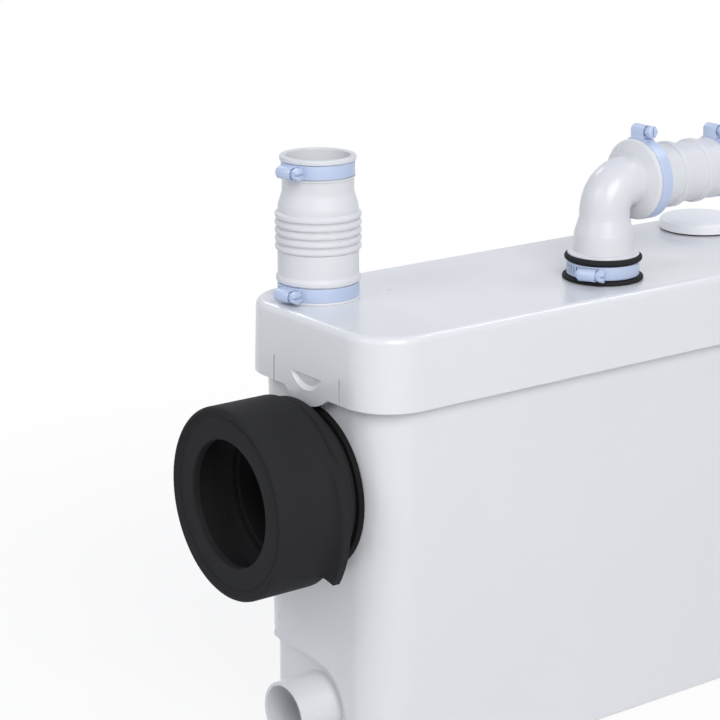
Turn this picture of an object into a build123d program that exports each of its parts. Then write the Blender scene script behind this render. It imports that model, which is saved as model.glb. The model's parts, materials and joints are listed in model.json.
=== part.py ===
"""Macerator toilet pump: a tank with a clipped-on lid, inlets, discharge elbow and the pump set inside.

Millimetres, +Z up. The origin is the centre of the tank's flat base. +X runs along the length,
towards the end that has no toilet cuff, and +Y towards the wall behind the pump.
"""
import os
from math import cos, hypot, radians, sin, tan

from build123d import *

os.makedirs("parts", exist_ok=True)

# Whole body
body_length = 427.0
body_depth = 150.0
overall_height = 293.0
overrun = 2.0
loose_gap = 0.3
running_gap = 0.05

# Tank
tank_base_inset = 9.1
tank_draft = 0.59
tank_corner = 29.0
tank_wall = 3.5
tank_floor = 4.0
tank_base_rounding = 2.5
tank_rim_lip = 2.2
tank_rim_height = 7.0
recess_depth = 4.1
recess_radius = 30.8

# Lid
lid_height = 46.3
lid_wall = 3.0
lid_top_wall = 3.2
lid_corner = 32.0
lid_draft = 1.2
lid_top_rounding = 5.0
seal_height = 4.0
seal_inset = 0.6
clip_width = 68.0
clip_shift = -2.0
clip_slit = 1.3
clip_height = 16.0
thumb_width = 32.6
thumb_drop = 9.6
thumb_top = 11.0
thumb_depth = 2.4
hump_width = 45.0
hump_drop = 8.2

# Toilet inlet and its rubber cuff, turned about a line along X
inlet_height = 185.9
inlet_seat_radius = 51.0
inlet_bore_radius = 40.5
inlet_spigot_wall = 4.0
inlet_spigot_length = 28.4
cuff_length = 61.5
cuff_radius = 60.0
cuff_lip_radius = 39.5
cuff_lip_depth = 8.0
cuff_wall = 7.0
cuff_rim_width = 4.6
cuff_rim_rounding = 3.0
cuff_groove_width = 2.2
cuff_groove_depth = 3.0
cuff_face_set = 2.2
cuff_body_length = 43.5
cuff_neck_groove = 4.6
cuff_neck_groove_width = 4.0
cuff_ridge_radius = 57.4
cuff_ridge_width = 7.6
cuff_throat_radius = 49.0
cuff_inner_step = 34.5
tab_radius = 79.0
tab_foot_radius = 70.0
tab_root_radius = 63.5
tab_axis_back = 11.2
tab_axis_drop = 4.8
tab_top = 29.5
tab_bottom = 41.5
tab_flare = 10.4
tab_rim = 4.2
ring_radius = 52.5
ring_width = 3.3
ring_skirt = 5.5

# Top inlet sleeve, turned about a vertical line
sleeve_from_end = 38.25
sleeve_from_back = 37.5
sleeve_spigot_radius = 21.5
sleeve_spigot_wall = 2.8
sleeve_spigot_height = 24.0
sleeve_foot_radius = 26.2
sleeve_foot_height = 1.5
sleeve_seat_radius = 24.6
sleeve_bead_radius = 26.35
sleeve_band_top = 10.2
sleeve_bead_top = 14.2
sleeve_body_radius = 25.3
sleeve_body_top = 29.6
rib_count = 5
rib_pitch = 5.0
rib_radius = 26.85
rib_root_radius = 24.8
rib_foot_half = 2.2
rib_crest_half = 1.1
rib_first = 32.7
shoulder_top = 58.3
neck_bottom = 67.5
neck_radius = 22.3
neck_bead_bottom = 75.6
neck_bead_radius = 23.1
neck_band_bottom = 77.5
neck_band_top = 86.4
neck_seat_radius = 21.9
sleeve_lip_bottom = 86.6
sleeve_lip_radius = 23.7
sleeve_top = 89.6
sleeve_bore_radius = 20.0

# Hose clamps
clamp_band_thickness = 0.9
clamp_slot_width = 1.1
clamp_slot_share = 0.62
clamp_slot_count = 9
clamp_slot_step = 6.4
clamp_slot_start = 20.0
clamp_house_length = 11.4
clamp_house_height = 8.8
clamp_house_rounding = 3.2
clamp_foot_overhang = 1.4
clamp_foot_height = 1.6
clamp_screw_radius = 3.1
clamp_screw_overhang = 1.6
clamp_head_across = 7.2
clamp_head_length = 3.6
clamp_head_slot = 1.1
sleeve_clamp_angle = -168.0
collar_clamp_angle = -152.0

# Discharge collar, elbow and outlet connector
discharge_shift = -32.0
collar_flange_radius = 26.1
collar_flange_height = 2.6
collar_seat_radius = 22.4
collar_top_flange_radius = 25.0
collar_top_flange_bottom = 12.4
collar_top = 16.0
collar_hole_gap = 0.3
collar_neck_radius = 20.6
collar_drop = 14.0
riser_radius = 16.0
riser_wall = 3.0
seat_hole_radius = 11.0
seat_bottom = 1.2
seat_top = 3.2
tail_radius = 18.0
tail_wall = 2.4
elbow_flange_radius = 23.0
elbow_flange_thickness = 2.2
elbow_socket_radius = 19.3
elbow_socket_top = 29.5
elbow_tube_radius = 16.2
elbow_taper_top = 40.0
elbow_wall = 2.4
elbow_bend_radius = 17.5
elbow_axis_height = 61.2
elbow_disc_start = 23.0
elbow_disc_radius = 26.0
elbow_disc_thickness = 2.4
elbow_spigot_length = 15.0
elbow_spigot_radius = 18.0
connector_end_radius = 25.3
connector_end_length = 10.6
connector_shoulder = 2.6
connector_body_radius = 20.0
connector_ring_radius = 21.1
connector_ring_width = 4.6
connector_ring_first = 26.0
connector_ring_pitch = 21.8
connector_ring_count = 2
connector_ring_fall = 0.5
connector_neck_radius = 19.0
connector_neck_lead = 5.0
connector_length = 79.0
connector_bore_radius = 16.0
outlet_band_from_end = 13.4
band_width = 8.6

# Non-return flap in the elbow's tail
flap_radius = 12.4
flap_thickness = 2.0
flap_pin_radius = 1.2
flap_pin_offset = 13.6
flap_pin_lift = 2.2
flap_pin_half_length = 8.6
flap_arm_width = 7.0

# Service cap and carbon vent filter
cap_along = 152.5
cap_across = 34.5
cap_radius = 27.6
cap_height = 8.0
cap_rounding = 3.0
cap_crown = 1.0
cap_seal_height = 1.0
cap_seal_inset = 1.1
cap_plug_radius = 21.6
cap_plug_wall = 2.2
cap_plug_depth = 8.0
cap_neck_radius = 25.2
cap_neck_depth = 28.0
cap_neck_lip = 3.0
filter_height = 15.0
filter_hole_radius = 1.6
filter_hole_count = 8

# Low inlet stubs, flaps and the blanking cap
stub_height = 37.2
stub_radius = 21.4
stub_wall = 2.2
stub_reach = 29.8
stub_shoulder = 0.5
stub_flange_width = 4.6
stub_flange_thickness = 2.6
stub_inner_reach = 6.0
stub_ear_width = 2.4
stub_ear_gap = 5.0
stub_ear_reach = 8.0
stub_ear_height = 5.6
stub_flap_overlap = 1.0
stub_flap_thickness = 2.2
stub_pin_radius = 1.5
stub_pin_out = 3.6
blank_wall = 2.6
blank_depth = 22.0
blank_rounding = 3.0

# Cable gland on the back wall
gland_along = 160.0
gland_height = 226.0
gland_radius = 8.0
gland_bore_radius = 4.2
gland_hex_across = 22.0
gland_hex_length = 6.0
gland_dome_length = 9.0
gland_dome_taper = 8.0
gland_nut_across = 21.0
gland_nut_thickness = 4.0

# Pump set, turned about a vertical line
motor_along = -62.0
deck_bottom = 121.0
deck_thickness = 4.0
deck_length = 104.0
deck_side_gap = 0.5
shelf_height = 8.0
shelf_width = 9.0
shelf_length = 88.0
deck_screw_radius = 2.2
deck_screw_head_radius = 4.2
deck_screw_head_height = 2.6
deck_screw_depth = 6.0
motor_radius = 45.0
motor_wall = 2.5
motor_height = 132.0
motor_rounding = 6.0
motor_foot_width = 8.0
motor_foot_thickness = 4.0
motor_foot_count = 3
stator_height = 56.0
stator_bottom = 38.0
stator_slot_count = 24
stator_slot_width = 2.6
stator_slot_depth = 6.0
stator_bore_radius = 21.2
winding_radius = 36.0
winding_height = 9.0
rotor_radius = 20.6
rotor_height = 62.0
rotor_skew_count = 20
rotor_groove = 1.0
shaft_radius = 4.0
shaft_bottom = 14.0
bearing_radius = 11.0
bearing_height = 9.0
bearing_cup_wall = 3.0
lower_bearing_lift = 8.0
shaft_seal_radius = 9.0
shaft_seal_height = 7.0
basket_side_gap = 12.4
basket_wall = 2.4
basket_floor = 2.4
basket_slot_count = 30
basket_slot_width = 4.6
basket_slot_margin = 9.0
basket_window_side = 26.0
basket_window_height = 44.0
basket_hub_radius = 10.0
blade_gap = 4.6
blade_width = 13.0
blade_thickness = 2.6
blade_hub_radius = 9.0
blade_hub_height = 9.0
blade_lift = 12.0
blade_tip_height = 10.0
volute_bottom = 13.0
volute_top = 37.0
volute_radius = 46.0
volute_wall = 3.2
spout_radius = 10.4
spout_wall = 2.0
spout_height = 24.5
suction_thickness = 3.0
suction_eye_radius = 15.0
suction_foot_radius = 4.0
suction_foot_count = 3
impeller_radius = 35.0
impeller_disc = 2.4
impeller_height = 14.0
impeller_hub_radius = 9.0
impeller_vane_count = 6
impeller_vane_thickness = 2.2
impeller_vane_lean = 25.0
riser_foot_radius = 21.0
riser_foot_thickness = 4.0
chute_wall = 2.4
chute_width = 82.0
chute_side = 34.0
chute_drop = 63.0
chute_ring_lap = 3.0
chute_ring_width = 3.5
chute_ring_thickness = 3.0
chute_end_gap = 2.0

# Dry deck with the pressure switch and the electrical parts
dry_bottom = 196.0
dry_thickness = 3.0
dry_start = 34.0
dry_end = 184.0
dry_shelf_length = 116.0
bell_along = 78.0
bell_across = 26.0
bell_radius = 12.0
bell_wall = 2.4
bell_bottom = 14.0
chamber_radius = 27.0
chamber_wall = 2.4
chamber_height = 9.0
cover_height = 7.0
cover_wall = 2.0
diaphragm_radius = 21.0
diaphragm_thickness = 1.2
plunger_radius = 3.4
plunger_length = 9.0
plunger_cap_radius = 8.0
plunger_tip_radius = 1.2
switch_length = 28.0
switch_width = 10.4
switch_height = 16.0
switch_gap = 3.4
switch_leg = 3.4
lever_length = 19.0
lever_width = 4.4
lever_thickness = 0.8
lever_pin_radius = 1.0
capacitor_along = 60.0
capacitor_across = -34.0
capacitor_radius = 17.0
capacitor_length = 62.0
capacitor_rounding = 2.5
capacitor_tab = 6.3
capacitor_tab_thickness = 0.8
terminal_along = 158.0
terminal_across = -30.0
terminal_length = 46.0
terminal_width = 20.0
terminal_height = 17.0
terminal_count = 4
terminal_screw_radius = 2.4

# Heights and places that follow from the sizes above
lid_skirt_bottom = overall_height - lid_height
tank_top = overall_height - lid_top_wall - seal_height
tank_half_length = body_length / 2 - tank_base_inset
tank_half_depth = body_depth / 2 - tank_base_inset
left_end = -body_length / 2
sleeve_along = left_end + sleeve_from_end
sleeve_across = body_depth / 2 - sleeve_from_back
recess_face = tank_half_length + stub_height * tan(radians(tank_draft)) - recess_depth


def grown(height):
    """How far the drafted tank wall has moved out at a height above the base."""
    return height * tan(radians(tank_draft))


def upright(along, across):
    """Vertical sketch plane through an upright axis, drawn as (out, up)."""
    return Plane(origin=(along, across, 0), x_dir=(1, 0, 0), z_dir=(0, -1, 0))


def lying(across, height):
    """Vertical sketch plane through an axis along X, drawn as (along, out)."""
    return Plane(origin=(0, across, height), x_dir=(1, 0, 0), z_dir=(0, -1, 0))


def turned(points, plane, axis, roundings=()):
    """Solid of revolution of a closed outline; roundings are (point number, radius) pairs."""
    with BuildPart() as piece:
        with BuildSketch(plane) as outline:
            with BuildLine():
                Polyline(*points, close=True)
            make_face()
            for number, radius in roundings:
                corner = Vector(*points[number])
                fillet(outline.vertices().sort_by_distance(corner)[0], radius)
        revolve(axis=axis)
    return piece.part


def upright_turned(points, along, across, roundings=()):
    axis = Axis((along, across, 0), (0, 0, 1))
    return turned(points, upright(along, across), axis, roundings)


def lying_turned(points, across, height, roundings=()):
    axis = Axis((0, across, height), (1, 0, 0))
    return turned(points, lying(across, height), axis, roundings)


def finish(piece, name):
    """Label a finished piece and write it."""
    piece.label = name
    export_step(piece, f"parts/{name}.step")


def end_plane(side, distance):
    """Sketch plane across X at a distance from the middle, facing out of one end, drawn as (Y, Z)."""
    return Plane(origin=(side * distance, 0, 0), x_dir=(0, 1, 0), z_dir=(1, 0, 0))


# Tank
inlet_seat_face = tank_half_length + grown(inlet_height + ring_radius) + loose_gap / 2
spigot_end = inlet_seat_face + inlet_spigot_length
spigot_radius = inlet_bore_radius + inlet_spigot_wall
pad_face = recess_face - tank_wall


def end_recess(side):
    """Arched recess low on an end wall, open to the back edge and to the base."""
    with BuildPart() as recess:
        with BuildSketch(end_plane(side, recess_face)):
            with Locations((0, stub_height)):
                Circle(recess_radius)
            with Locations((-recess_radius, -overrun)):
                Rectangle(body_depth, stub_height + overrun, align=(Align.MIN, Align.MIN))
            with Locations((0, -overrun)):
                Rectangle(
                    body_depth,
                    stub_height + recess_radius + overrun,
                    align=(Align.MIN, Align.MIN),
                )
        extrude(amount=side * body_depth)
    return recess.part


def drafted_block(inset, start):
    """Solid with the tank's drafted shape, set in from its outside, from a height up to the rim."""
    with BuildPart() as block:
        with BuildSketch(Plane.XY.offset(start)):
            RectangleRounded(
                2 * (tank_half_length + grown(start) - inset),
                2 * (tank_half_depth + grown(start) - inset),
                tank_corner - inset,
            )
        extrude(amount=tank_top - start, taper=-tank_draft)
    return block.part


def shelf_pair(middle, top, length):
    """Two ledges on the long walls that carry a deck."""
    for side in (-1, 1):
        face = tank_half_depth + grown(top - shelf_height) - tank_wall / 2
        with Locations((middle, side * (face - shelf_width / 2), top - shelf_height / 2)):
            Box(length, shelf_width, shelf_height)


with BuildPart() as tank:
    with BuildSketch():
        RectangleRounded(2 * tank_half_length, 2 * tank_half_depth, tank_corner)
    extrude(amount=tank_top, taper=-tank_draft)
    with BuildSketch(Plane.XY.offset(tank_top - tank_rim_height)):
        RectangleRounded(
            2 * (tank_half_length + grown(tank_top) + tank_rim_lip),
            2 * (tank_half_depth + grown(tank_top) + tank_rim_lip),
            tank_corner + tank_rim_lip,
        )
    extrude(amount=tank_rim_height)
    fillet(tank.edges().group_by(Axis.Z)[0], tank_base_rounding)
    add(drafted_block(tank_wall, tank_floor), mode=Mode.SUBTRACT)
    for side in (-1, 1):
        pad_height = stub_height + recess_radius + tank_wall
        pad_width = 2 * recess_radius + 2 * tank_wall + tank_corner / 2
        with Locations((side * (pad_face + tank_wall / 2), tank_corner / 4, pad_height / 2)):
            Box(tank_wall, pad_width, pad_height)
        add(end_recess(side), mode=Mode.SUBTRACT)
        with BuildSketch(end_plane(side, pad_face - overrun)):
            with Locations((0, stub_height)):
                Circle(stub_radius + stub_shoulder + running_gap)
        extrude(amount=side * (recess_depth + tank_wall + 2 * overrun), mode=Mode.SUBTRACT)
    inner_wall = tank_half_length + grown(inlet_height - inlet_seat_radius) - tank_wall
    with BuildSketch(end_plane(-1, inlet_seat_face)):
        with Locations((0, inlet_height)):
            Circle(inlet_seat_radius)
    extrude(amount=inlet_seat_face - inner_wall)
    with BuildSketch(end_plane(-1, spigot_end)):
        with Locations((0, inlet_height)):
            Circle(spigot_radius)
    extrude(amount=spigot_end - inner_wall)
    with BuildSketch(end_plane(-1, spigot_end + overrun)):
        with Locations((0, inlet_height)):
            Circle(inlet_bore_radius)
    extrude(amount=spigot_end - inner_wall + 3 * overrun, mode=Mode.SUBTRACT)
    shelf_pair(motor_along, deck_bottom, shelf_length)
    shelf_pair((dry_start + dry_end) / 2, dry_bottom, dry_shelf_length)
    deck_inset = tank_half_depth + grown(deck_bottom) - tank_wall - shelf_width / 2
    dry_inset = tank_half_depth + grown(dry_bottom) - tank_wall - shelf_width / 2
    with Locations(Plane.XY.offset(deck_bottom)):
        with Locations((motor_along, 0)):
            with GridLocations(shelf_length - 2 * shelf_width, 2 * deck_inset, 2, 2):
                Hole(deck_screw_radius + running_gap, depth=deck_screw_depth)
    with Locations(Plane.XY.offset(dry_bottom)):
        with Locations(((dry_start + dry_end) / 2, 0)):
            with GridLocations(dry_shelf_length - 2 * shelf_width, 2 * dry_inset, 2, 2):
                Hole(deck_screw_radius + running_gap, depth=deck_screw_depth)
    gland_wall = tank_half_depth + grown(gland_height)
    gland_plane = Plane(
        origin=(gland_along, gland_wall, gland_height), x_dir=(-1, 0, 0), z_dir=(0, 1, 0)
    )
    gland_seat = gland_hex_across / 2 + overrun
    with BuildSketch(gland_plane.offset(grown(gland_seat) + loose_gap / 2)):
        Circle(gland_seat)
    extrude(amount=-tank_wall)
    with BuildSketch(gland_plane.offset(-tank_wall - loose_gap)):
        Circle(gland_seat)
    extrude(amount=tank_wall / 2)
    with BuildSketch(gland_plane.offset(tank_wall)):
        Circle(gland_radius + running_gap)
    extrude(amount=-3 * tank_wall, mode=Mode.SUBTRACT)
finish(tank.part, "tank")

# Lid seal, lying on the tank's rim
seal_half_length = tank_half_length + grown(tank_top) + tank_rim_lip - seal_inset
seal_half_depth = tank_half_depth + grown(tank_top) + tank_rim_lip - seal_inset
seal_width = tank_wall + tank_rim_lip - 2 * seal_inset
with BuildPart() as lid_seal:
    with BuildSketch(Plane.XY.offset(tank_top)):
        RectangleRounded(2 * seal_half_length, 2 * seal_half_depth, tank_corner)
        RectangleRounded(
            2 * (seal_half_length - seal_width),
            2 * (seal_half_depth - seal_width),
            tank_corner - seal_width,
            mode=Mode.SUBTRACT,
        )
    extrude(amount=seal_height)
finish(lid_seal.part, "lid_seal")

# Lid with its skirt, clip tongues, thumb recesses and openings
collar_hole_radius = collar_neck_radius + collar_hole_gap
lid_inside_height = lid_height - lid_top_wall
thumb_radius = (thumb_width**2 / 4 + thumb_drop**2) / (2 * thumb_drop)
hump_radius = (hump_width**2 / 4 + hump_drop**2) / (2 * hump_drop)
with BuildPart() as lid:
    with BuildSketch(Plane.XY.offset(lid_skirt_bottom)):
        RectangleRounded(body_length, body_depth, lid_corner)
    extrude(amount=lid_height, taper=lid_draft)
    fillet(lid.faces().sort_by(Axis.Z)[-1].edges(), lid_top_rounding)
    with BuildSketch(Plane.XY.offset(lid_skirt_bottom - overrun)):
        RectangleRounded(
            body_length - 2 * lid_wall + 2 * overrun * tan(radians(lid_draft)),
            body_depth - 2 * lid_wall + 2 * overrun * tan(radians(lid_draft)),
            lid_corner - lid_wall,
        )
    extrude(amount=lid_inside_height + overrun, taper=lid_draft, mode=Mode.SUBTRACT)
    for side in (-1, 1):
        outer_face = body_length / 2
        with BuildSketch(end_plane(side, outer_face - lid_wall)):
            with Locations((clip_shift, lid_skirt_bottom - hump_drop + hump_radius)):
                Circle(hump_radius)
            with Locations((clip_shift, lid_skirt_bottom + overrun)):
                Rectangle(
                    4 * hump_radius,
                    4 * hump_radius,
                    align=(Align.CENTER, Align.MIN),
                    mode=Mode.SUBTRACT,
                )
        extrude(amount=side * (lid_wall - overrun * tan(radians(lid_draft))))
        for edge in (-1, 1):
            slit_middle = clip_shift + edge * clip_width / 2
            slit_height = lid_skirt_bottom + clip_height / 2 - overrun / 2
            with Locations((side * outer_face, slit_middle, slit_height)):
                Box(4 * lid_wall, clip_slit, clip_height + overrun, mode=Mode.SUBTRACT)
        thumb_line = lid_skirt_bottom + thumb_top
        with BuildSketch(end_plane(side, outer_face - thumb_depth)):
            with Locations((clip_shift, thumb_line - thumb_drop + thumb_radius)):
                Circle(thumb_radius)
            with Locations((clip_shift, thumb_line)):
                Rectangle(
                    4 * thumb_radius,
                    4 * thumb_radius,
                    align=(Align.CENTER, Align.MIN),
                    mode=Mode.SUBTRACT,
                )
        extrude(amount=side * lid_wall, mode=Mode.SUBTRACT)
    with BuildSketch(Plane.XY.offset(overall_height - lid_top_wall)):
        with Locations((sleeve_along, sleeve_across)):
            Circle(sleeve_spigot_radius)
    extrude(amount=lid_top_wall + sleeve_spigot_height)
    with BuildSketch(Plane.XY.offset(overall_height - cap_neck_depth)):
        with Locations((cap_along, cap_across)):
            Circle(cap_neck_radius)
    extrude(amount=cap_neck_depth - lid_top_wall / 2)
    with Locations(Plane.XY.offset(overall_height + sleeve_spigot_height)):
        with Locations((sleeve_along, sleeve_across)):
            Hole(sleeve_spigot_radius - sleeve_spigot_wall, depth=lid_height)
    with Locations(Plane.XY.offset(overall_height)):
        with Locations((0, discharge_shift)):
            Hole(collar_hole_radius, depth=lid_height)
        with Locations((cap_along, cap_across)):
            Hole(cap_plug_radius + loose_gap, depth=cap_neck_depth - cap_neck_lip)
            Hole(cap_plug_radius - cap_neck_lip, depth=cap_neck_depth + overrun)
finish(lid.part, "lid")

# Rubber toilet cuff, its retaining ring and the pull tab on its near side
ring_face = inlet_seat_face + ring_width
cuff_front = ring_face + cuff_length
cuff_body_end = cuff_front - cuff_body_length
cuff_groove_end = cuff_body_end - cuff_neck_groove_width
cuff_ridge_end = cuff_groove_end - cuff_ridge_width
cuff_groove_radius = cuff_radius - cuff_neck_groove
cuff_step = cuff_front - cuff_inner_step
groove_outer = cuff_radius - cuff_rim_width
groove_inner = groove_outer - cuff_groove_width
cuff_outline = [
    (-cuff_front, cuff_radius),
    (-cuff_body_end, cuff_radius),
    (-cuff_body_end + cuff_neck_groove_width / 3, cuff_groove_radius),
    (-cuff_groove_end - cuff_neck_groove_width / 3, cuff_groove_radius),
    (-cuff_groove_end + cuff_neck_groove_width / 3, cuff_ridge_radius),
    (-cuff_ridge_end - cuff_neck_groove_width / 3, cuff_ridge_radius),
    (-cuff_ridge_end, cuff_throat_radius),
    (-ring_face, cuff_throat_radius),
    (-ring_face, spigot_radius + running_gap),
    (-cuff_step, spigot_radius + running_gap),
    (-cuff_step - cuff_neck_groove, cuff_radius - cuff_wall),
    (-cuff_front + cuff_lip_depth + cuff_face_set, cuff_radius - cuff_wall),
    (-cuff_front + cuff_lip_depth, cuff_lip_radius),
    (-cuff_front + cuff_face_set, cuff_lip_radius),
    (-cuff_front + cuff_face_set, groove_inner),
    (-cuff_front + cuff_groove_depth, groove_inner + cuff_groove_width / 2),
    (-cuff_front, groove_outer),
]
cuff_body = lying_turned(
    cuff_outline,
    0,
    inlet_height,
    [(0, cuff_rim_rounding), (13, cuff_face_set / 2)],
)
tab_end = cuff_body_end - tab_rim / 2
tab_lip_end = tab_end + tab_rim
tab_start = tab_lip_end + tab_flare
tab_axis_height = inlet_height - tab_axis_drop
with BuildPart() as pull_tab:
    with BuildSketch(lying(tab_axis_back, tab_axis_height)):
        with BuildLine():
            tab_foot = (-tab_start, tab_foot_radius)
            tab_lip = (-tab_lip_end, tab_radius)
            tab_sag = (-tab_lip_end - tab_flare / 4, (tab_foot_radius + tab_radius) / 2)
            ThreePointArc(tab_foot, tab_sag, tab_lip)
            Polyline(
                tab_lip,
                (-tab_end, tab_radius),
                (-tab_end, tab_root_radius),
                (-tab_start, tab_root_radius),
                tab_foot,
            )
        make_face()
    revolve(axis=Axis((0, tab_axis_back, tab_axis_height), (1, 0, 0)), revolution_arc=180)
    with Locations((-cuff_front, -tab_radius, inlet_height + (tab_top - tab_bottom) / 2)):
        Box(4 * tab_radius, 2 * tab_radius, tab_top + tab_bottom, mode=Mode.INTERSECT)
with BuildPart() as toilet_cuff:
    add(cuff_body)
    add(pull_tab.part)
finish(toilet_cuff.part, "toilet_cuff")

with BuildPart() as cuff_retaining_ring:
    with BuildSketch(end_plane(-1, inlet_seat_face)):
        with Locations((0, inlet_height)):
            Circle(ring_radius)
            Circle(inlet_seat_radius + running_gap, mode=Mode.SUBTRACT)
    extrude(amount=ring_skirt)
    add(drafted_block(-running_gap, 0), mode=Mode.SUBTRACT)
    with BuildSketch(end_plane(-1, ring_face)):
        with Locations((0, inlet_height)):
            Circle(ring_radius)
            Circle(spigot_radius + running_gap, mode=Mode.SUBTRACT)
    extrude(amount=ring_width)
finish(cuff_retaining_ring.part, "cuff_retaining_ring")

# Ribbed rubber sleeve on the lid's spigot
lid_top = overall_height
rib_last = rib_first + (rib_count - 1) * rib_pitch
sleeve_foot = upright_turned(
    [
        (0, lid_top),
        (sleeve_foot_radius, lid_top),
        (sleeve_foot_radius, lid_top + sleeve_foot_height),
        (sleeve_seat_radius, lid_top + sleeve_foot_height),
        (sleeve_seat_radius, lid_top + sleeve_band_top),
        (sleeve_bead_radius, lid_top + sleeve_band_top + sleeve_foot_height),
        (sleeve_bead_radius, lid_top + sleeve_bead_top),
        (sleeve_body_radius, lid_top + sleeve_bead_top + sleeve_foot_height),
        (sleeve_body_radius, lid_top + sleeve_body_top),
        (rib_root_radius, lid_top + rib_first - rib_foot_half),
        (0, lid_top + rib_first - rib_foot_half),
    ],
    sleeve_along,
    sleeve_across,
)
sleeve_plane = Plane(origin=(sleeve_along, sleeve_across, lid_top), x_dir=(1, 0, 0), z_dir=(0, 0, 1))
with BuildPart() as inlet_sleeve:
    add(sleeve_foot)
    for number in range(rib_count):
        middle = rib_first + number * rib_pitch
        stations = (
            (middle - rib_foot_half, rib_root_radius),
            (middle - rib_crest_half, rib_radius),
            (middle + rib_crest_half, rib_radius),
            (middle + rib_foot_half, rib_root_radius),
        )
        for height, radius in stations:
            with BuildSketch(sleeve_plane.offset(height)):
                Circle(radius)
        loft(ruled=True)
        if number < rib_count - 1:
            with BuildSketch(sleeve_plane.offset(middle + rib_foot_half)):
                Circle(rib_root_radius)
            extrude(amount=rib_pitch - 2 * rib_foot_half)
    with BuildSketch(upright(sleeve_along, sleeve_across)):
        with BuildLine():
            Polyline(
                (0, lid_top + rib_last + rib_foot_half),
                (rib_root_radius, lid_top + rib_last + rib_foot_half),
                (sleeve_body_radius, lid_top + shoulder_top),
                (neck_radius, lid_top + neck_bottom),
                (neck_radius, lid_top + neck_bead_bottom),
                (neck_bead_radius, lid_top + neck_bead_bottom + sleeve_foot_height / 2),
                (neck_bead_radius, lid_top + neck_band_bottom - clamp_band_thickness / 2),
                (neck_seat_radius, lid_top + neck_band_bottom - clamp_band_thickness / 2),
                (neck_seat_radius, lid_top + sleeve_lip_bottom),
                (sleeve_lip_radius, lid_top + sleeve_lip_bottom),
                (sleeve_lip_radius, lid_top + sleeve_top),
                (0, lid_top + sleeve_top),
                close=True,
            )
        make_face()
    revolve(axis=Axis((sleeve_along, sleeve_across, 0), (0, 0, 1)))
    with BuildSketch(sleeve_plane):
        Circle(sleeve_spigot_radius + running_gap)
    extrude(amount=shoulder_top, mode=Mode.SUBTRACT)
    with BuildSketch(sleeve_plane.offset(shoulder_top)):
        Circle(sleeve_spigot_radius + running_gap)
    with BuildSketch(sleeve_plane.offset(neck_bottom)):
        Circle(sleeve_bore_radius)
    loft(ruled=True, mode=Mode.SUBTRACT)
    with BuildSketch(sleeve_plane.offset(neck_bottom)):
        Circle(sleeve_bore_radius)
    extrude(amount=sleeve_top, mode=Mode.SUBTRACT)
finish(inlet_sleeve.part, "inlet_sleeve")


# Hose clamps: a slotted band with a screw housing, and its worm screw
def clamp_pieces(middle, axis_direction, house_direction, seat_radius, name):
    """Band, housing and screw round a seat; the screw's head points along axis x house."""
    inner = seat_radius + running_gap
    outer = inner + clamp_band_thickness
    hub = Plane(origin=middle, x_dir=house_direction, z_dir=axis_direction)
    screw_middle = outer + clamp_foot_height + clamp_screw_radius + loose_gap
    foot_length = clamp_house_length + 2 * clamp_foot_overhang
    head_side = Plane(
        origin=hub.from_local_coords(Vector(screw_middle, clamp_house_length / 2, 0)),
        x_dir=hub.x_dir,
        z_dir=hub.y_dir,
    )
    with BuildPart() as band:
        with BuildSketch(hub.offset(-band_width / 2)):
            Circle(outer)
        extrude(amount=band_width)
        with Locations(hub):
            with Locations((outer + clamp_foot_height / 4, 0, 0)):
                Box(clamp_foot_height * 1.5, foot_length, band_width)
            with Locations((outer + clamp_house_height / 2, 0, 0)):
                Box(clamp_house_height, clamp_house_length, band_width)
        rim = band.edges().filter_by(Axis(middle, hub.y_dir)).group_by(Axis(middle, hub.x_dir))[-1]
        fillet(rim, clamp_house_rounding)
        with BuildSketch(hub.offset(-band_width)):
            Circle(inner)
        extrude(amount=2 * band_width, mode=Mode.SUBTRACT)
        with BuildSketch(head_side.offset(-clamp_house_length - overrun)):
            Circle(clamp_screw_radius + running_gap)
        extrude(amount=clamp_house_length + 2 * overrun, mode=Mode.SUBTRACT)
        with Locations(hub):
            for number in range(clamp_slot_count):
                turn = -clamp_slot_start - number * clamp_slot_step
                with Locations(Location((0, 0, 0), (0, 0, turn))):
                    with Locations((outer, 0, 0)):
                        Box(
                            4 * clamp_band_thickness,
                            clamp_slot_width,
                            band_width * clamp_slot_share,
                            mode=Mode.SUBTRACT,
                        )
    finish(band.part, name)
    with BuildPart() as screw:
        with BuildSketch(head_side.offset(-clamp_house_length - clamp_screw_overhang)):
            Circle(clamp_screw_radius)
        extrude(amount=clamp_house_length + 2 * clamp_screw_overhang)
        with BuildSketch(head_side.offset(clamp_screw_overhang)):
            RegularPolygon(clamp_head_across / 2, 6, major_radius=False)
        extrude(amount=clamp_head_length)
        with Locations(head_side.offset(clamp_screw_overhang + clamp_head_length)):
            Box(clamp_head_slot, 2 * clamp_head_across, clamp_head_length / 2, mode=Mode.SUBTRACT)
    finish(screw.part, f"{name}_screw")


lower_band_middle = lid_top + (sleeve_foot_height + sleeve_band_top) / 2
upper_band_middle = lid_top + (neck_band_bottom + neck_band_top) / 2
collar_band_middle = lid_top + (collar_flange_height + collar_top_flange_bottom) / 2
elbow_band_middle = elbow_disc_start + elbow_disc_thickness + loose_gap + band_width / 2
connector_end = elbow_disc_start + elbow_disc_thickness + connector_length
outlet_band_start = connector_end - outlet_band_from_end
outlet_band_middle = outlet_band_start + band_width / 2
elbow_height = lid_top + elbow_axis_height


def facing(angle):
    """Level direction at an angle from +X."""
    return (cos(radians(angle)), sin(radians(angle)), 0)


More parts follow.
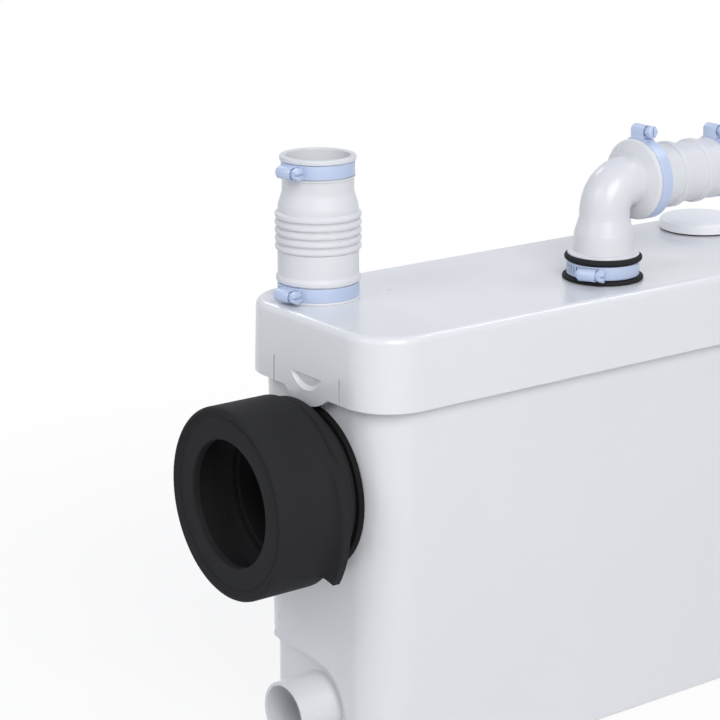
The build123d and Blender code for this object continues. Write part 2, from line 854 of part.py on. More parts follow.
clamp_pieces(
    (sleeve_along, sleeve_across, lower_band_middle),
    (0, 0, 1),
    facing(sleeve_clamp_angle),
    sleeve_seat_radius,
    "sleeve_lower_clamp",
)
clamp_pieces(
    (sleeve_along, sleeve_across, upper_band_middle),
    (0, 0, 1),
    facing(sleeve_clamp_angle),
    neck_seat_radius,
    "sleeve_upper_clamp",
)
clamp_pieces(
    (0, discharge_shift, collar_band_middle),
    (0, 0, 1),
    facing(collar_clamp_angle),
    collar_seat_radius,
    "collar_clamp",
)
clamp_pieces(
    (elbow_band_middle, discharge_shift, elbow_height),
    (1, 0, 0),
    (0, 0, 1),
    connector_end_radius,
    "elbow_clamp",
)
clamp_pieces(
    (outlet_band_middle, discharge_shift, elbow_height),
    (1, 0, 0),
    (0, 0, 1),
    connector_neck_radius,
    "outlet_clamp",
)

# Rubber discharge collar with the seat of the non-return flap
discharge_collar = upright_turned(
    [
        (riser_radius + running_gap, lid_top - collar_drop),
        (collar_neck_radius, lid_top - collar_drop),
        (collar_neck_radius, lid_top),
        (collar_flange_radius, lid_top),
        (collar_flange_radius, lid_top + collar_flange_height),
        (collar_seat_radius, lid_top + collar_flange_height),
        (collar_seat_radius, lid_top + collar_top_flange_bottom),
        (collar_top_flange_radius, lid_top + collar_top_flange_bottom),
        (collar_top_flange_radius, lid_top + collar_top),
        (tail_radius + running_gap, lid_top + collar_top),
        (tail_radius + running_gap, lid_top + seat_top),
        (seat_hole_radius, lid_top + seat_top),
        (seat_hole_radius, lid_top + seat_bottom),
        (riser_radius + running_gap, lid_top + seat_bottom),
    ],
    0,
    discharge_shift,
    [(3, collar_flange_height / 3), (4, collar_flange_height / 3), (7, collar_flange_height / 2)],
)
finish(discharge_collar, "discharge_collar")

# Discharge elbow
tail_bottom = lid_top + seat_top
flange_bottom = lid_top + collar_top
bend_bottom = elbow_height - elbow_bend_radius
disc_end = elbow_disc_start + elbow_disc_thickness
pin_height = tail_bottom + flap_pin_lift
elbow_axis = Axis((0, discharge_shift, 0), (0, 0, 1))
run_axis = Axis((0, discharge_shift, elbow_height), (1, 0, 0))
bend_axis = Axis((elbow_bend_radius, discharge_shift, bend_bottom), (0, 1, 0))


def elbow_core(shrink, tail, far):
    """Upright tapered length, quarter bend and level length, thinner by shrink."""
    with BuildPart() as core:
        with BuildSketch(upright(0, discharge_shift)):
            with BuildLine():
                Polyline(
                    (0, tail_bottom),
                    (tail, tail_bottom),
                    (tail, flange_bottom),
                    (elbow_socket_radius - shrink, flange_bottom),
                    (elbow_socket_radius - shrink, lid_top + elbow_socket_top),
                    (elbow_tube_radius - shrink, lid_top + elbow_taper_top),
                    (elbow_tube_radius - shrink, bend_bottom),
                    (0, bend_bottom),
                    close=True,
                )
            make_face()
        revolve(axis=elbow_axis)
        with BuildSketch(Plane(origin=(0, discharge_shift, bend_bottom), z_dir=(0, 0, 1))):
            Circle(elbow_tube_radius - shrink)
        revolve(axis=bend_axis, revolution_arc=90)
        with BuildSketch(
            Plane(origin=(elbow_bend_radius, discharge_shift, elbow_height), z_dir=(1, 0, 0))
        ):
            Circle(elbow_tube_radius - shrink)
        extrude(amount=far - elbow_bend_radius)
    return core.part


with BuildPart() as discharge_elbow:
    add(elbow_core(0, tail_radius, disc_end))
    with BuildSketch(upright(0, discharge_shift)):
        with BuildLine():
            Polyline(
                (0, flange_bottom),
                (elbow_flange_radius, flange_bottom),
                (elbow_flange_radius, flange_bottom + elbow_flange_thickness / 2),
                (elbow_socket_radius, flange_bottom + elbow_flange_thickness),
                (0, flange_bottom + elbow_flange_thickness),
                close=True,
            )
        make_face()
    revolve(axis=elbow_axis)
    with BuildSketch(lying(discharge_shift, elbow_height)):
        with BuildLine():
            Polyline(
                (elbow_disc_start, 0),
                (elbow_disc_start, elbow_disc_radius - elbow_disc_thickness / 2),
                (elbow_disc_start + elbow_disc_thickness / 2, elbow_disc_radius),
                (disc_end, elbow_disc_radius),
                (disc_end, elbow_spigot_radius),
                (disc_end + elbow_spigot_length, elbow_spigot_radius),
                (disc_end + elbow_spigot_length, 0),
                close=True,
            )
        make_face()
    revolve(axis=run_axis)
    elbow_bore = elbow_core(elbow_wall, tail_radius - tail_wall, disc_end + elbow_spigot_length)
    add(elbow_bore, mode=Mode.SUBTRACT)
    with Locations(Plane(origin=(-flap_pin_offset, discharge_shift, pin_height), z_dir=(0, 1, 0))):
        Cylinder(flap_pin_radius + running_gap, 2 * flap_pin_half_length, mode=Mode.SUBTRACT)
finish(discharge_elbow.part, "discharge_elbow")

# Non-return flap with its pin, resting on the collar's seat
with BuildPart() as non_return_flap:
    with BuildSketch(Plane.XY.offset(tail_bottom)):
        with Locations((0, discharge_shift)):
            Circle(flap_radius)
    extrude(amount=flap_thickness)
    with Locations(
        (-flap_pin_offset / 2 - flap_radius / 2, discharge_shift, tail_bottom + flap_pin_lift)
    ):
        Box(flap_pin_offset - flap_radius + flap_arm_width / 4, flap_arm_width, flap_thickness)
    with Locations(Plane(origin=(-flap_pin_offset, discharge_shift, pin_height), z_dir=(0, 1, 0))):
        Cylinder(flap_pin_radius, 2 * flap_pin_half_length - loose_gap)
finish(non_return_flap.part, "non_return_flap")

# Stepped rubber outlet connector
ring_side = connector_ring_fall
connector_outline = [
    (disc_end, elbow_spigot_radius + running_gap),
    (disc_end, connector_end_radius),
    (disc_end + connector_end_length, connector_end_radius),
    (disc_end + connector_end_length + connector_shoulder, connector_body_radius),
]
for number in range(connector_ring_count):
    start = disc_end + connector_ring_first + number * connector_ring_pitch
    body = connector_body_radius - number * connector_ring_fall
    ring = connector_ring_radius - number * connector_ring_fall
    connector_outline += [
        (start, body),
        (start + ring_side, ring),
        (start + connector_ring_width - ring_side, ring),
        (start + connector_ring_width, body - connector_ring_fall),
    ]
connector_outline += [
    (outlet_band_start - connector_neck_lead, connector_body_radius - 2 * connector_ring_fall),
    (outlet_band_start - 2 * ring_side, connector_ring_radius - 2 * connector_ring_fall),
    (outlet_band_start - ring_side, connector_ring_radius - 2 * connector_ring_fall),
    (outlet_band_start - ring_side, connector_neck_radius),
    (connector_end, connector_neck_radius),
    (connector_end, connector_bore_radius),
    (disc_end + elbow_spigot_length, connector_bore_radius),
    (disc_end + elbow_spigot_length, elbow_spigot_radius + running_gap),
]
outlet_connector = lying_turned(connector_outline, discharge_shift, elbow_height)
finish(outlet_connector, "outlet_connector")

# Service cap, its seal and the carbon vent filter below it
cap_seat = lid_top + cap_seal_height
cap_bore = cap_plug_radius + loose_gap
service_cap = upright_turned(
    [
        (0, cap_seat),
        (cap_plug_radius - cap_plug_wall, cap_seat),
        (cap_plug_radius - cap_plug_wall, lid_top - cap_plug_depth),
        (cap_plug_radius, lid_top - cap_plug_depth),
        (cap_plug_radius, cap_seat),
        (cap_radius, cap_seat),
        (cap_radius, lid_top + cap_height),
        (cap_radius - cap_rounding - cap_crown, lid_top + cap_height + cap_crown),
        (0, lid_top + cap_height + cap_crown),
    ],
    cap_along,
    cap_across,
    [(6, cap_rounding)],
)
finish(service_cap, "service_cap")

with BuildPart() as cap_seal:
    with BuildSketch(Plane.XY.offset(lid_top)):
        with Locations((cap_along, cap_across)):
            Circle(cap_radius - cap_seal_inset)
            Circle(cap_bore, mode=Mode.SUBTRACT)
    extrude(amount=cap_seal_height)
finish(cap_seal.part, "cap_seal")

filter_bottom = lid_top - cap_neck_depth + cap_neck_lip
with BuildPart() as vent_filter:
    with BuildSketch(Plane.XY.offset(filter_bottom)):
        with Locations((cap_along, cap_across)):
            Circle(cap_plug_radius)
            with PolarLocations(cap_plug_radius / 2, filter_hole_count):
                Circle(filter_hole_radius, mode=Mode.SUBTRACT)
            Circle(filter_hole_radius, mode=Mode.SUBTRACT)
    extrude(amount=filter_height)
finish(vent_filter.part, "vent_filter")


# Low inlet stubs with their flaps; the far one is closed by a blanking cap
def stub_pieces(side, name):
    """Pipe stub through an end wall, held by a flange inside, and the flap on its inner end."""
    outer_end = recess_face + stub_reach
    inner_face = pad_face - stub_flange_thickness
    seat = inner_face - stub_inner_reach
    flange_radius = stub_radius + stub_flange_width
    bore = stub_radius - stub_wall
    pin_along = seat - stub_pin_out
    pin_up = stub_height + stub_radius + stub_pin_radius + loose_gap
    ear_middle = stub_ear_gap + stub_ear_width / 2
    pipe = lying_turned(
        [
            (side * outer_end, bore),
            (side * outer_end, stub_radius),
            (side * recess_face, stub_radius),
            (side * recess_face, stub_radius + stub_shoulder),
            (side * pad_face, stub_radius + stub_shoulder),
            (side * pad_face, flange_radius),
            (side * inner_face, flange_radius),
            (side * inner_face, stub_radius),
            (side * seat, stub_radius),
            (side * seat, bore),
        ],
        0,
        stub_height,
    )
    with BuildPart() as stub:
        add(pipe)
        for edge in (-1, 1):
            ear_length = inner_face - seat + stub_ear_reach
            with Locations((side * (inner_face - ear_length / 2), edge * ear_middle, pin_up)):
                Box(ear_length, stub_ear_width, stub_ear_height)
        with Locations(Plane(origin=(side * pin_along, 0, pin_up), z_dir=(0, 1, 0))):
            pin_hole = stub_pin_radius + running_gap
            Cylinder(pin_hole, body_depth / 2, mode=Mode.SUBTRACT)
    finish(stub.part, name)
    flap_size = bore + stub_flap_overlap
    with BuildPart() as flap:
        with BuildSketch(end_plane(side, seat - stub_flap_thickness)):
            with Locations((0, stub_height)):
                Circle(flap_size)
            with Locations((0, stub_height + flap_size)):
                Rectangle(2 * stub_ear_gap - 4 * loose_gap, 2 * (pin_up - stub_height - flap_size))
        extrude(amount=side * stub_flap_thickness)
        arm_length = seat - pin_along
        with Locations((side * (seat - arm_length / 2), 0, pin_up)):
            Box(arm_length, 2 * stub_ear_gap - 4 * loose_gap, 2 * stub_pin_radius)
        with Locations(Plane(origin=(side * pin_along, 0, pin_up), z_dir=(0, 1, 0))):
            Cylinder(stub_pin_radius, 2 * (stub_ear_gap + stub_ear_width))
    finish(flap.part, f"{name}_flap")


stub_pieces(-1, "left_inlet_stub")
stub_pieces(1, "right_inlet_stub")

blank_end = recess_face + stub_reach
blanking_cap = lying_turned(
    [
        (blank_end - blank_depth, stub_radius + running_gap),
        (blank_end - blank_depth, stub_radius + blank_wall),
        (blank_end + blank_wall, stub_radius + blank_wall),
        (blank_end + blank_wall, 0),
        (blank_end, 0),
        (blank_end, stub_radius + running_gap),
    ],
    0,
    stub_height,
    [(2, blank_rounding)],
)
finish(blanking_cap, "blanking_cap")

# Cable gland and its nut
gland_face = gland_plane.offset(grown(gland_seat) + loose_gap / 2)
gland_back = gland_plane.offset(-tank_wall - loose_gap)
with BuildPart() as cable_gland:
    with BuildSketch(gland_face):
        RegularPolygon(gland_hex_across / 2, 6, major_radius=False)
    extrude(amount=gland_hex_length)
    with BuildSketch(gland_face.offset(gland_hex_length)):
        Circle(gland_hex_across / 2 - loose_gap)
    extrude(amount=gland_dome_length, taper=gland_dome_taper)
    with BuildSketch(gland_face):
        Circle(gland_radius)
    extrude(amount=-tank_wall - 3 * gland_nut_thickness)
    with BuildSketch(gland_face.offset(gland_hex_length + gland_dome_length + overrun)):
        Circle(gland_bore_radius)
    extrude(amount=-2 * body_depth / 3, mode=Mode.SUBTRACT)
finish(cable_gland.part, "cable_gland")

with BuildPart() as gland_nut:
    with BuildSketch(gland_back):
        RegularPolygon(gland_nut_across / 2, 6, major_radius=False)
        Circle(gland_radius + running_gap, mode=Mode.SUBTRACT)
    extrude(amount=-gland_nut_thickness)
finish(gland_nut.part, "gland_nut")

# Pump deck on the tank's ledges
deck_top = deck_bottom + deck_thickness
deck_half_depth = tank_half_depth + grown(deck_bottom) - tank_wall - deck_side_gap
seal_cup_radius = shaft_seal_radius + bearing_cup_wall
with BuildPart() as pump_deck:
    with BuildSketch(Plane.XY.offset(deck_bottom)):
        with Locations((motor_along, 0)):
            RectangleRounded(deck_length, 2 * deck_half_depth, 3 * deck_thickness)
            Circle(shaft_seal_radius + running_gap, mode=Mode.SUBTRACT)
            with GridLocations(shelf_length - 2 * shelf_width, 2 * deck_inset, 2, 2):
                Circle(deck_screw_radius + running_gap, mode=Mode.SUBTRACT)
        with Locations((0, discharge_shift)):
            Circle(riser_radius + loose_gap, mode=Mode.SUBTRACT)
    extrude(amount=deck_thickness)
    with BuildSketch(Plane.XY.offset(deck_bottom - shaft_seal_height + deck_thickness)):
        with Locations((motor_along, 0)):
            Circle(seal_cup_radius)
            Circle(shaft_seal_radius + running_gap, mode=Mode.SUBTRACT)
    extrude(amount=shaft_seal_height - deck_thickness)
finish(pump_deck.part, "pump_deck")


def screw_set(name, middle, top, along, across, depth):
    """Four pan-head screws at the corners of a deck."""
    with BuildPart() as screws:
        for step_x in (-1, 1):
            for step_y in (-1, 1):
                place = (middle + step_x * along / 2, step_y * across / 2)
                with BuildSketch(Plane.XY.offset(top)):
                    with Locations(place):
                        Circle(deck_screw_head_radius)
                extrude(amount=deck_screw_head_height)
                with BuildSketch(Plane.XY.offset(top)):
                    with Locations(place):
                        Circle(deck_screw_radius)
                extrude(amount=-depth)
        crowns = screws.faces().group_by(Axis.Z)[-1].edges()
        fillet(crowns, deck_screw_head_height / 2)
    finish(screws.part, name)


screw_set(
    "deck_screws",
    motor_along,
    deck_top,
    shelf_length - 2 * shelf_width,
    2 * deck_inset,
    deck_thickness + deck_screw_depth - loose_gap,
)

# Motor housing, bearings and shaft seal
motor_bottom = deck_top
motor_top = motor_bottom + motor_height
upper_bearing_bottom = motor_top - motor_wall - bearing_height
lower_bearing_bottom = motor_bottom + lower_bearing_lift
cup_radius = bearing_radius + bearing_cup_wall
with BuildPart() as motor_housing:
    with BuildSketch(Plane.XY.offset(motor_bottom)):
        with Locations((motor_along, 0)):
            Circle(motor_radius)
    extrude(amount=motor_height)
    fillet(motor_housing.edges().group_by(Axis.Z)[-1], motor_rounding)
    with BuildSketch(Plane.XY.offset(motor_bottom + motor_wall)):
        with Locations((motor_along, 0)):
            Circle(motor_radius - motor_wall)
            Circle(cup_radius, mode=Mode.SUBTRACT)
    extrude(amount=lower_bearing_lift - motor_wall + bearing_height, mode=Mode.SUBTRACT)
    with BuildSketch(Plane.XY.offset(lower_bearing_bottom + bearing_height)):
        with Locations((motor_along, 0)):
            Circle(motor_radius - motor_wall)
    extrude(
        amount=upper_bearing_bottom - lower_bearing_bottom - bearing_height, mode=Mode.SUBTRACT
    )
    with BuildSketch(Plane.XY.offset(upper_bearing_bottom)):
        with Locations((motor_along, 0)):
            Circle(motor_radius - motor_rounding - motor_wall)
            Circle(cup_radius, mode=Mode.SUBTRACT)
    extrude(amount=bearing_height, mode=Mode.SUBTRACT)
    for bottom in (lower_bearing_bottom, upper_bearing_bottom):
        with BuildSketch(Plane.XY.offset(bottom)):
            with Locations((motor_along, 0)):
                Circle(bearing_radius)
        extrude(amount=bearing_height, mode=Mode.SUBTRACT)
    with BuildSketch(Plane.XY.offset(motor_bottom - overrun)):
        with Locations((motor_along, 0)):
            Circle(shaft_radius + overrun)
    extrude(amount=lower_bearing_lift + 2 * overrun, mode=Mode.SUBTRACT)
    with BuildSketch(Plane.XY.offset(motor_bottom)):
        with Locations((motor_along, 0)):
            with PolarLocations(motor_radius, motor_foot_count):
                SlotCenterToCenter(motor_foot_width, 1.5 * motor_foot_width)
            Circle(motor_radius - motor_wall, mode=Mode.SUBTRACT)
    extrude(amount=motor_foot_thickness)
finish(motor_housing.part, "motor_housing")


def ring_piece(name, along, bottom, height, outer, inner):
    """Plain ring standing on a height."""
    with BuildPart() as piece:
        with BuildSketch(Plane.XY.offset(bottom)):
            with Locations((along, 0)):
                Circle(outer)
                Circle(inner, mode=Mode.SUBTRACT)
        extrude(amount=height)
    finish(piece.part, name)


shaft_bore = shaft_radius + running_gap
bearing_fit = bearing_radius - running_gap
ring_piece(
    "lower_bearing", motor_along, lower_bearing_bottom, bearing_height, bearing_fit, shaft_bore
)
ring_piece(
    "upper_bearing", motor_along, upper_bearing_bottom, bearing_height, bearing_fit, shaft_bore
)
ring_piece(
    "shaft_seal",
    motor_along,
    deck_top - shaft_seal_height,
    shaft_seal_height,
    shaft_seal_radius,
    shaft_bore,
)

# Stator core with its slots, and the windings that stand out above and below it
stator_low = motor_bottom + stator_bottom
stator_high = stator_low + stator_height
with BuildPart() as stator_core:
    with BuildSketch(Plane.XY.offset(stator_low)):
        with Locations((motor_along, 0)):
            Circle(motor_radius - motor_wall - running_gap)
            Circle(stator_bore_radius, mode=Mode.SUBTRACT)
            with PolarLocations(stator_bore_radius + stator_slot_depth / 2, stator_slot_count):
                Rectangle(
                    stator_slot_depth + stator_slot_width, stator_slot_width, mode=Mode.SUBTRACT
                )
    extrude(amount=stator_height)
finish(stator_core.part, "stator_core")

with BuildPart() as stator_windings:
    for bottom in (stator_low - winding_height, stator_high):
        with BuildSketch(Plane.XY.offset(bottom)):
            with Locations((motor_along, 0)):
                Circle(winding_radius)
                Circle(stator_bore_radius + stator_slot_width, mode=Mode.SUBTRACT)
        extrude(amount=winding_height)
finish(stator_windings.part, "stator_windings")

# Rotor, shaft, cutter blade and impeller
rotor_low = stator_low + (stator_height - rotor_height) / 2
with BuildPart() as rotor:
    with BuildSketch(Plane.XY.offset(rotor_low)):
        with Locations((motor_along, 0)):
            Circle(rotor_radius)
            with PolarLocations(rotor_radius, rotor_skew_count):
                Rectangle(rotor_groove, rotor_groove, mode=Mode.SUBTRACT)
            Circle(shaft_radius, mode=Mode.SUBTRACT)
    extrude(amount=rotor_height)
finish(rotor.part, "rotor")

with BuildPart() as shaft:
    with BuildSketch(Plane.XY.offset(shaft_bottom)):
        with Locations((motor_along, 0)):
            Circle(shaft_radius)
    extrude(amount=upper_bearing_bottom + bearing_height / 2 - shaft_bottom)
finish(shaft.part, "shaft")

basket_radius = tank_half_depth - tank_wall - basket_side_gap
blade_radius = basket_radius - basket_wall - blade_gap
blade_bottom = volute_top + basket_floor + blade_lift
with BuildPart() as cutter_blade:
    with BuildSketch(Plane.XY.offset(blade_bottom)):
        with Locations((motor_along, 0)):
            Circle(blade_hub_radius)
            Circle(shaft_radius, mode=Mode.SUBTRACT)
    extrude(amount=blade_hub_height)
    with BuildSketch(Plane.XY.offset(blade_bottom)):
        with Locations((motor_along, 0)):
            SlotOverall(2 * blade_radius, blade_width)
            Circle(blade_hub_radius, mode=Mode.SUBTRACT)
    extrude(amount=blade_thickness)
    for side in (-1, 1):
        tip_along = motor_along + side * (blade_radius - blade_width)
        with Locations((tip_along, 0, blade_bottom + blade_tip_height / 2)):
            Box(blade_thickness, blade_width, blade_tip_height)
finish(cutter_blade.part, "cutter_blade")

impeller_bottom = volute_bottom + (volute_top - volute_wall - volute_bottom - impeller_height) / 2
with BuildPart() as impeller:
    with BuildSketch(Plane.XY.offset(impeller_bottom + impeller_height - impeller_disc)):
        with Locations((motor_along, 0)):
            Circle(impeller_radius)
    extrude(amount=impeller_disc)
    with BuildSketch(Plane.XY.offset(impeller_bottom)):
        with Locations((motor_along, 0)):
            with PolarLocations((impeller_radius + impeller_hub_radius) / 2, impeller_vane_count):
                vane_length = impeller_radius - impeller_hub_radius
                Rectangle(vane_length, impeller_vane_thickness, rotation=impeller_vane_lean)
    extrude(amount=impeller_height)
    with BuildSketch(Plane.XY.offset(impeller_bottom)):
        with Locations((motor_along, 0)):
            Circle(impeller_hub_radius)
    extrude(amount=impeller_height)
    with BuildSketch(Plane.XY.offset(impeller_bottom - overrun)):
        with Locations((motor_along, 0)):
            Circle(shaft_radius)
    extrude(amount=impeller_height + 2 * overrun, mode=Mode.SUBTRACT)
finish(impeller.part, "impeller")

# Slotted grinder basket under the deck, with a window towards the toilet inlet
basket_bottom = volute_top
basket_window_width = 2 * basket_radius - basket_window_side
basket_height = deck_bottom - basket_bottom
with BuildPart() as grinder_basket:
    with BuildSketch(Plane.XY.offset(basket_bottom)):
        with Locations((motor_along, 0)):
            Circle(basket_radius)
    extrude(amount=basket_height)
    with BuildSketch(Plane.XY.offset(basket_bottom + basket_floor)):
        with Locations((motor_along, 0)):
            Circle(basket_radius - basket_wall)
    extrude(amount=basket_height, mode=Mode.SUBTRACT)
    with BuildSketch(Plane.XY.offset(basket_bottom - overrun)):
        with Locations((motor_along, 0)):
            Circle(basket_hub_radius)
    extrude(amount=basket_floor + 2 * overrun, mode=Mode.SUBTRACT)
    slot_height = basket_height - basket_floor - 2 * basket_slot_margin
    slot_middle = basket_bottom + basket_floor + basket_slot_margin + slot_height / 2
    with Locations((motor_along, 0, slot_middle)):
        with PolarLocations(basket_radius, basket_slot_count):
            Box(4 * basket_wall, basket_slot_width, slot_height, mode=Mode.SUBTRACT)
    window_middle = deck_bottom - basket_slot_margin / 2 - basket_window_height / 2
    with Locations((motor_along - basket_radius, 0, window_middle)):
        Box(basket_radius, basket_window_width, basket_window_height, mode=Mode.SUBTRACT)
finish(grinder_basket.part, "grinder_basket")

# Pump volute with its spout towards the riser, and the suction plate under it
spout_run = hypot(motor_along, discharge_shift)
spout_direction = (-motor_along / spout_run, discharge_shift / spout_run, 0)
spout_plane = Plane(origin=(motor_along, 0, spout_height), x_dir=(0, 0, 1), z_dir=spout_direction)
spout_end = spout_run - riser_radius + riser_wall / 2
with BuildPart() as volute:
    with BuildSketch(Plane.XY.offset(volute_bottom)):
        with Locations((motor_along, 0)):
            Circle(volute_radius)
    extrude(amount=volute_top - volute_bottom)
    with BuildSketch(spout_plane):
        Circle(spout_radius)
    extrude(amount=spout_end)
    with BuildSketch(Plane.XY.offset(volute_bottom - overrun)):
        with Locations((motor_along, 0)):
            Circle(volute_radius - volute_wall)
    extrude(amount=volute_top - volute_wall - volute_bottom + overrun, mode=Mode.SUBTRACT)
    with BuildSketch(spout_plane):
        Circle(spout_radius - spout_wall)
    extrude(amount=spout_end + overrun, mode=Mode.SUBTRACT)
    with BuildSketch(Plane.XY.offset(volute_bottom)):
        with Locations((motor_along, 0)):
            Circle(shaft_bore)
    extrude(amount=volute_top, mode=Mode.SUBTRACT)
finish(volute.part, "volute")

with BuildPart() as suction_plate:
    with BuildSketch(Plane.XY.offset(volute_bottom - suction_thickness)):
        with Locations((motor_along, 0)):
            Circle(volute_radius)
            Circle(suction_eye_radius, mode=Mode.SUBTRACT)
    extrude(amount=suction_thickness)
    with BuildSketch(Plane.XY.offset(tank_floor)):
        with Locations((motor_along, 0)):
            with PolarLocations(volute_radius - 2 * suction_foot_radius, suction_foot_count):
                Circle(suction_foot_radius)
    extrude(amount=volute_bottom - suction_thickness - tank_floor)
finish(suction_plate.part, "suction_plate")

# Riser from the volute's spout up into the discharge collar
riser_top = lid_top + seat_bottom - loose_gap
with BuildPart() as discharge_riser:
    with BuildSketch(Plane.XY.offset(tank_floor)):
        with Locations((0, discharge_shift)):
            Circle(riser_foot_radius)
    extrude(amount=riser_foot_thickness)
    with BuildSketch(Plane.XY.offset(tank_floor)):
        with Locations((0, discharge_shift)):
            Circle(riser_radius)
    extrude(amount=riser_top - tank_floor)
    with BuildSketch(Plane.XY.offset(tank_floor + riser_foot_thickness)):
        with Locations((0, discharge_shift)):
            Circle(riser_radius - riser_wall)
    extrude(amount=riser_top, mode=Mode.SUBTRACT)
    with BuildSketch(spout_plane.offset(spout_run - riser_radius - overrun)):
        Circle(spout_radius + running_gap)
    extrude(amount=riser_radius, mode=Mode.SUBTRACT)
finish(discharge_riser.part, "discharge_riser")

# Chute from the toilet inlet to the basket's window
chute_start = -inner_wall + loose_gap
chute_end = motor_along - basket_radius - chute_end_gap
chute_high = inlet_height - inlet_bore_radius
chute_ring_radius = chute_width / 2 + chute_ring_lap
chute_low = chute_high - chute_drop
with BuildPart() as inlet_chute:
    with BuildSketch(Plane.XZ.offset(-chute_width / 2)):
        with BuildLine():
            Polyline(
                (chute_start, chute_high - chute_wall),
                (chute_end, chute_low - chute_wall),
                (chute_end, chute_low + chute_side),
                (chute_start, chute_high + chute_side),
                close=True,
            )
        make_face()
    extrude(amount=chute_width)
    with BuildSketch(Plane.XZ.offset(-chute_width / 2 + chute_wall)):
        with BuildLine():
            Polyline(
                (chute_start - chute_wall, chute_high),
                (chute_start, chute_high),
                (chute_end, chute_low),
                (chute_end + overrun, chute_low),
                (chute_end + overrun, chute_high + 2 * chute_side),
                (chute_start - chute_wall, chute_high + 2 * chute_side),
                close=True,
            )
        make_face()
    extrude(amount=chute_width - 2 * chute_wall, mode=Mode.SUBTRACT)
    with BuildSketch(end_plane(1, chute_start)):
        with Locations((0, inlet_height)):
            Circle(chute_ring_radius)
            Circle(chute_ring_radius - chute_ring_width, mode=Mode.SUBTRACT)
    extrude(amount=chute_ring_thickness)
    add(drafted_block(tank_wall + running_gap, tank_floor), mode=Mode.INTERSECT)
finish(inlet_chute.part, "inlet_chute")

# Dry deck
dry_top = dry_bottom + dry_thickness
dry_half_depth = tank_half_depth + grown(dry_bottom) - tank_wall - deck_side_gap
dry_middle = (dry_start + dry_end) / 2
with BuildPart() as dry_deck:
    with BuildSketch(Plane.XY.offset(dry_bottom)):
        with Locations((dry_middle, 0)):
            RectangleRounded(dry_end - dry_start, 2 * dry_half_depth, 4 * dry_thickness)
            with GridLocations(dry_shelf_length - 2 * shelf_width, 2 * dry_inset, 2, 2):
                Circle(deck_screw_radius + running_gap, mode=Mode.SUBTRACT)
        with Locations((bell_along, bell_across)):
            Circle(bell_radius + running_gap, mode=Mode.SUBTRACT)
    extrude(amount=dry_thickness)
finish(dry_deck.part, "dry_deck")
screw_set(
    "dry_deck_screws",
    dry_middle,
    dry_top,
    dry_shelf_length - 2 * shelf_width,
    2 * dry_inset,
    dry_thickness + deck_screw_depth - loose_gap,
)

# Pressure bell with the chamber above it, the cover, the diaphragm and the plunger
chamber_floor = dry_top + chamber_wall
chamber_top = dry_top + chamber_height
pressure_bell = upright_turned(
    [
        (bell_radius - bell_wall, bell_bottom),
        (bell_radius, bell_bottom),
        (bell_radius, dry_top),
        (chamber_radius, dry_top),
        (chamber_radius, chamber_top),
        (chamber_radius - chamber_wall, chamber_top),
        (chamber_radius - chamber_wall, chamber_floor),
        (bell_radius - bell_wall, chamber_floor),
    ],
    bell_along,
    bell_across,
)
finish(pressure_bell, "pressure_bell")

cover_top = chamber_top + cover_height
pressure_cover = upright_turned(
    [
        (chamber_radius - chamber_wall, chamber_top),
        (chamber_radius, chamber_top),
        (chamber_radius, cover_top),
        (plunger_radius + running_gap, cover_top),
        (plunger_radius + running_gap, cover_top - cover_wall),
        (chamber_radius - chamber_wall, cover_top - cover_wall),
    ],
    bell_along,
    bell_across,
)
finish(pressure_cover, "pressure_cover")

diaphragm_bottom = chamber_top - diaphragm_thickness
diaphragm = upright_turned(
    [
        (0, diaphragm_bottom),
        (diaphragm_radius, diaphragm_bottom),
        (diaphragm_radius, chamber_top),
        (0, chamber_top),
    ],
    bell_along,
    bell_across,
)
finish(diaphragm, "diaphragm")

plunger_top = chamber_top + plunger_length
switch_plunger = upright_turned(
    [
        (0, chamber_top),
        (plunger_cap_radius, chamber_top),
        (plunger_cap_radius, chamber_top + diaphragm_thickness),
        (plunger_radius, chamber_top + diaphragm_thickness),
        (plunger_radius, plunger_top - plunger_tip_radius),
        (plunger_tip_radius, plunger_top),
        (0, plunger_top),
    ],
    bell_along,
    bell_across,
)
finish(switch_plunger, "switch_plunger")

# Microswitch on its leg over the plunger, and the lever hinged under it
lever_bottom = plunger_top + running_gap
lever_pin_along = bell_along + lever_length
lever_pin_height = lever_bottom + lever_thickness / 2
lever_end = lever_pin_along + lever_width / 2
switch_bottom = lever_bottom + lever_thickness + switch_gap
switch_leg_end = lever_end + loose_gap + switch_leg
with BuildPart() as microswitch:
    with Locations((switch_leg_end, bell_across, switch_bottom)):
        Box(
            switch_length,
            switch_width,
            switch_height,
            align=(Align.MAX, Align.CENTER, Align.MIN),
        )
    with Locations((switch_leg_end, bell_across, cover_top)):
        Box(
            switch_leg,
            switch_width,
            switch_bottom - cover_top,
            align=(Align.MAX, Align.CENTER, Align.MIN),
        )
    for side in (-1, 1):
        ear_middle = side * (lever_width / 2 + lever_pin_radius + running_gap)
        with Locations((lever_pin_along, bell_across + ear_middle, switch_bottom)):
            Box(
                4 * lever_pin_radius,
                2 * lever_pin_radius - running_gap,
                switch_bottom - lever_pin_height + 2 * lever_pin_radius,
                align=(Align.CENTER, Align.CENTER, Align.MAX),
            )
    with Locations(
        Plane(origin=(lever_pin_along, bell_across, lever_pin_height), z_dir=(0, 1, 0))
    ):
        Cylinder(lever_pin_radius + running_gap, switch_width, mode=Mode.SUBTRACT)
finish(microswitch.part, "microswitch")

with BuildPart() as switch_lever:
    with Locations((lever_pin_along - lever_length / 2, bell_across, lever_pin_height)):
        Box(lever_length + lever_width, lever_width, lever_thickness)
    with Locations(
        Plane(origin=(lever_pin_along, bell_across, lever_pin_height), z_dir=(0, 1, 0))
    ):
        Cylinder(lever_pin_radius, lever_width + 4 * lever_pin_radius)
finish(switch_lever.part, "switch_lever")

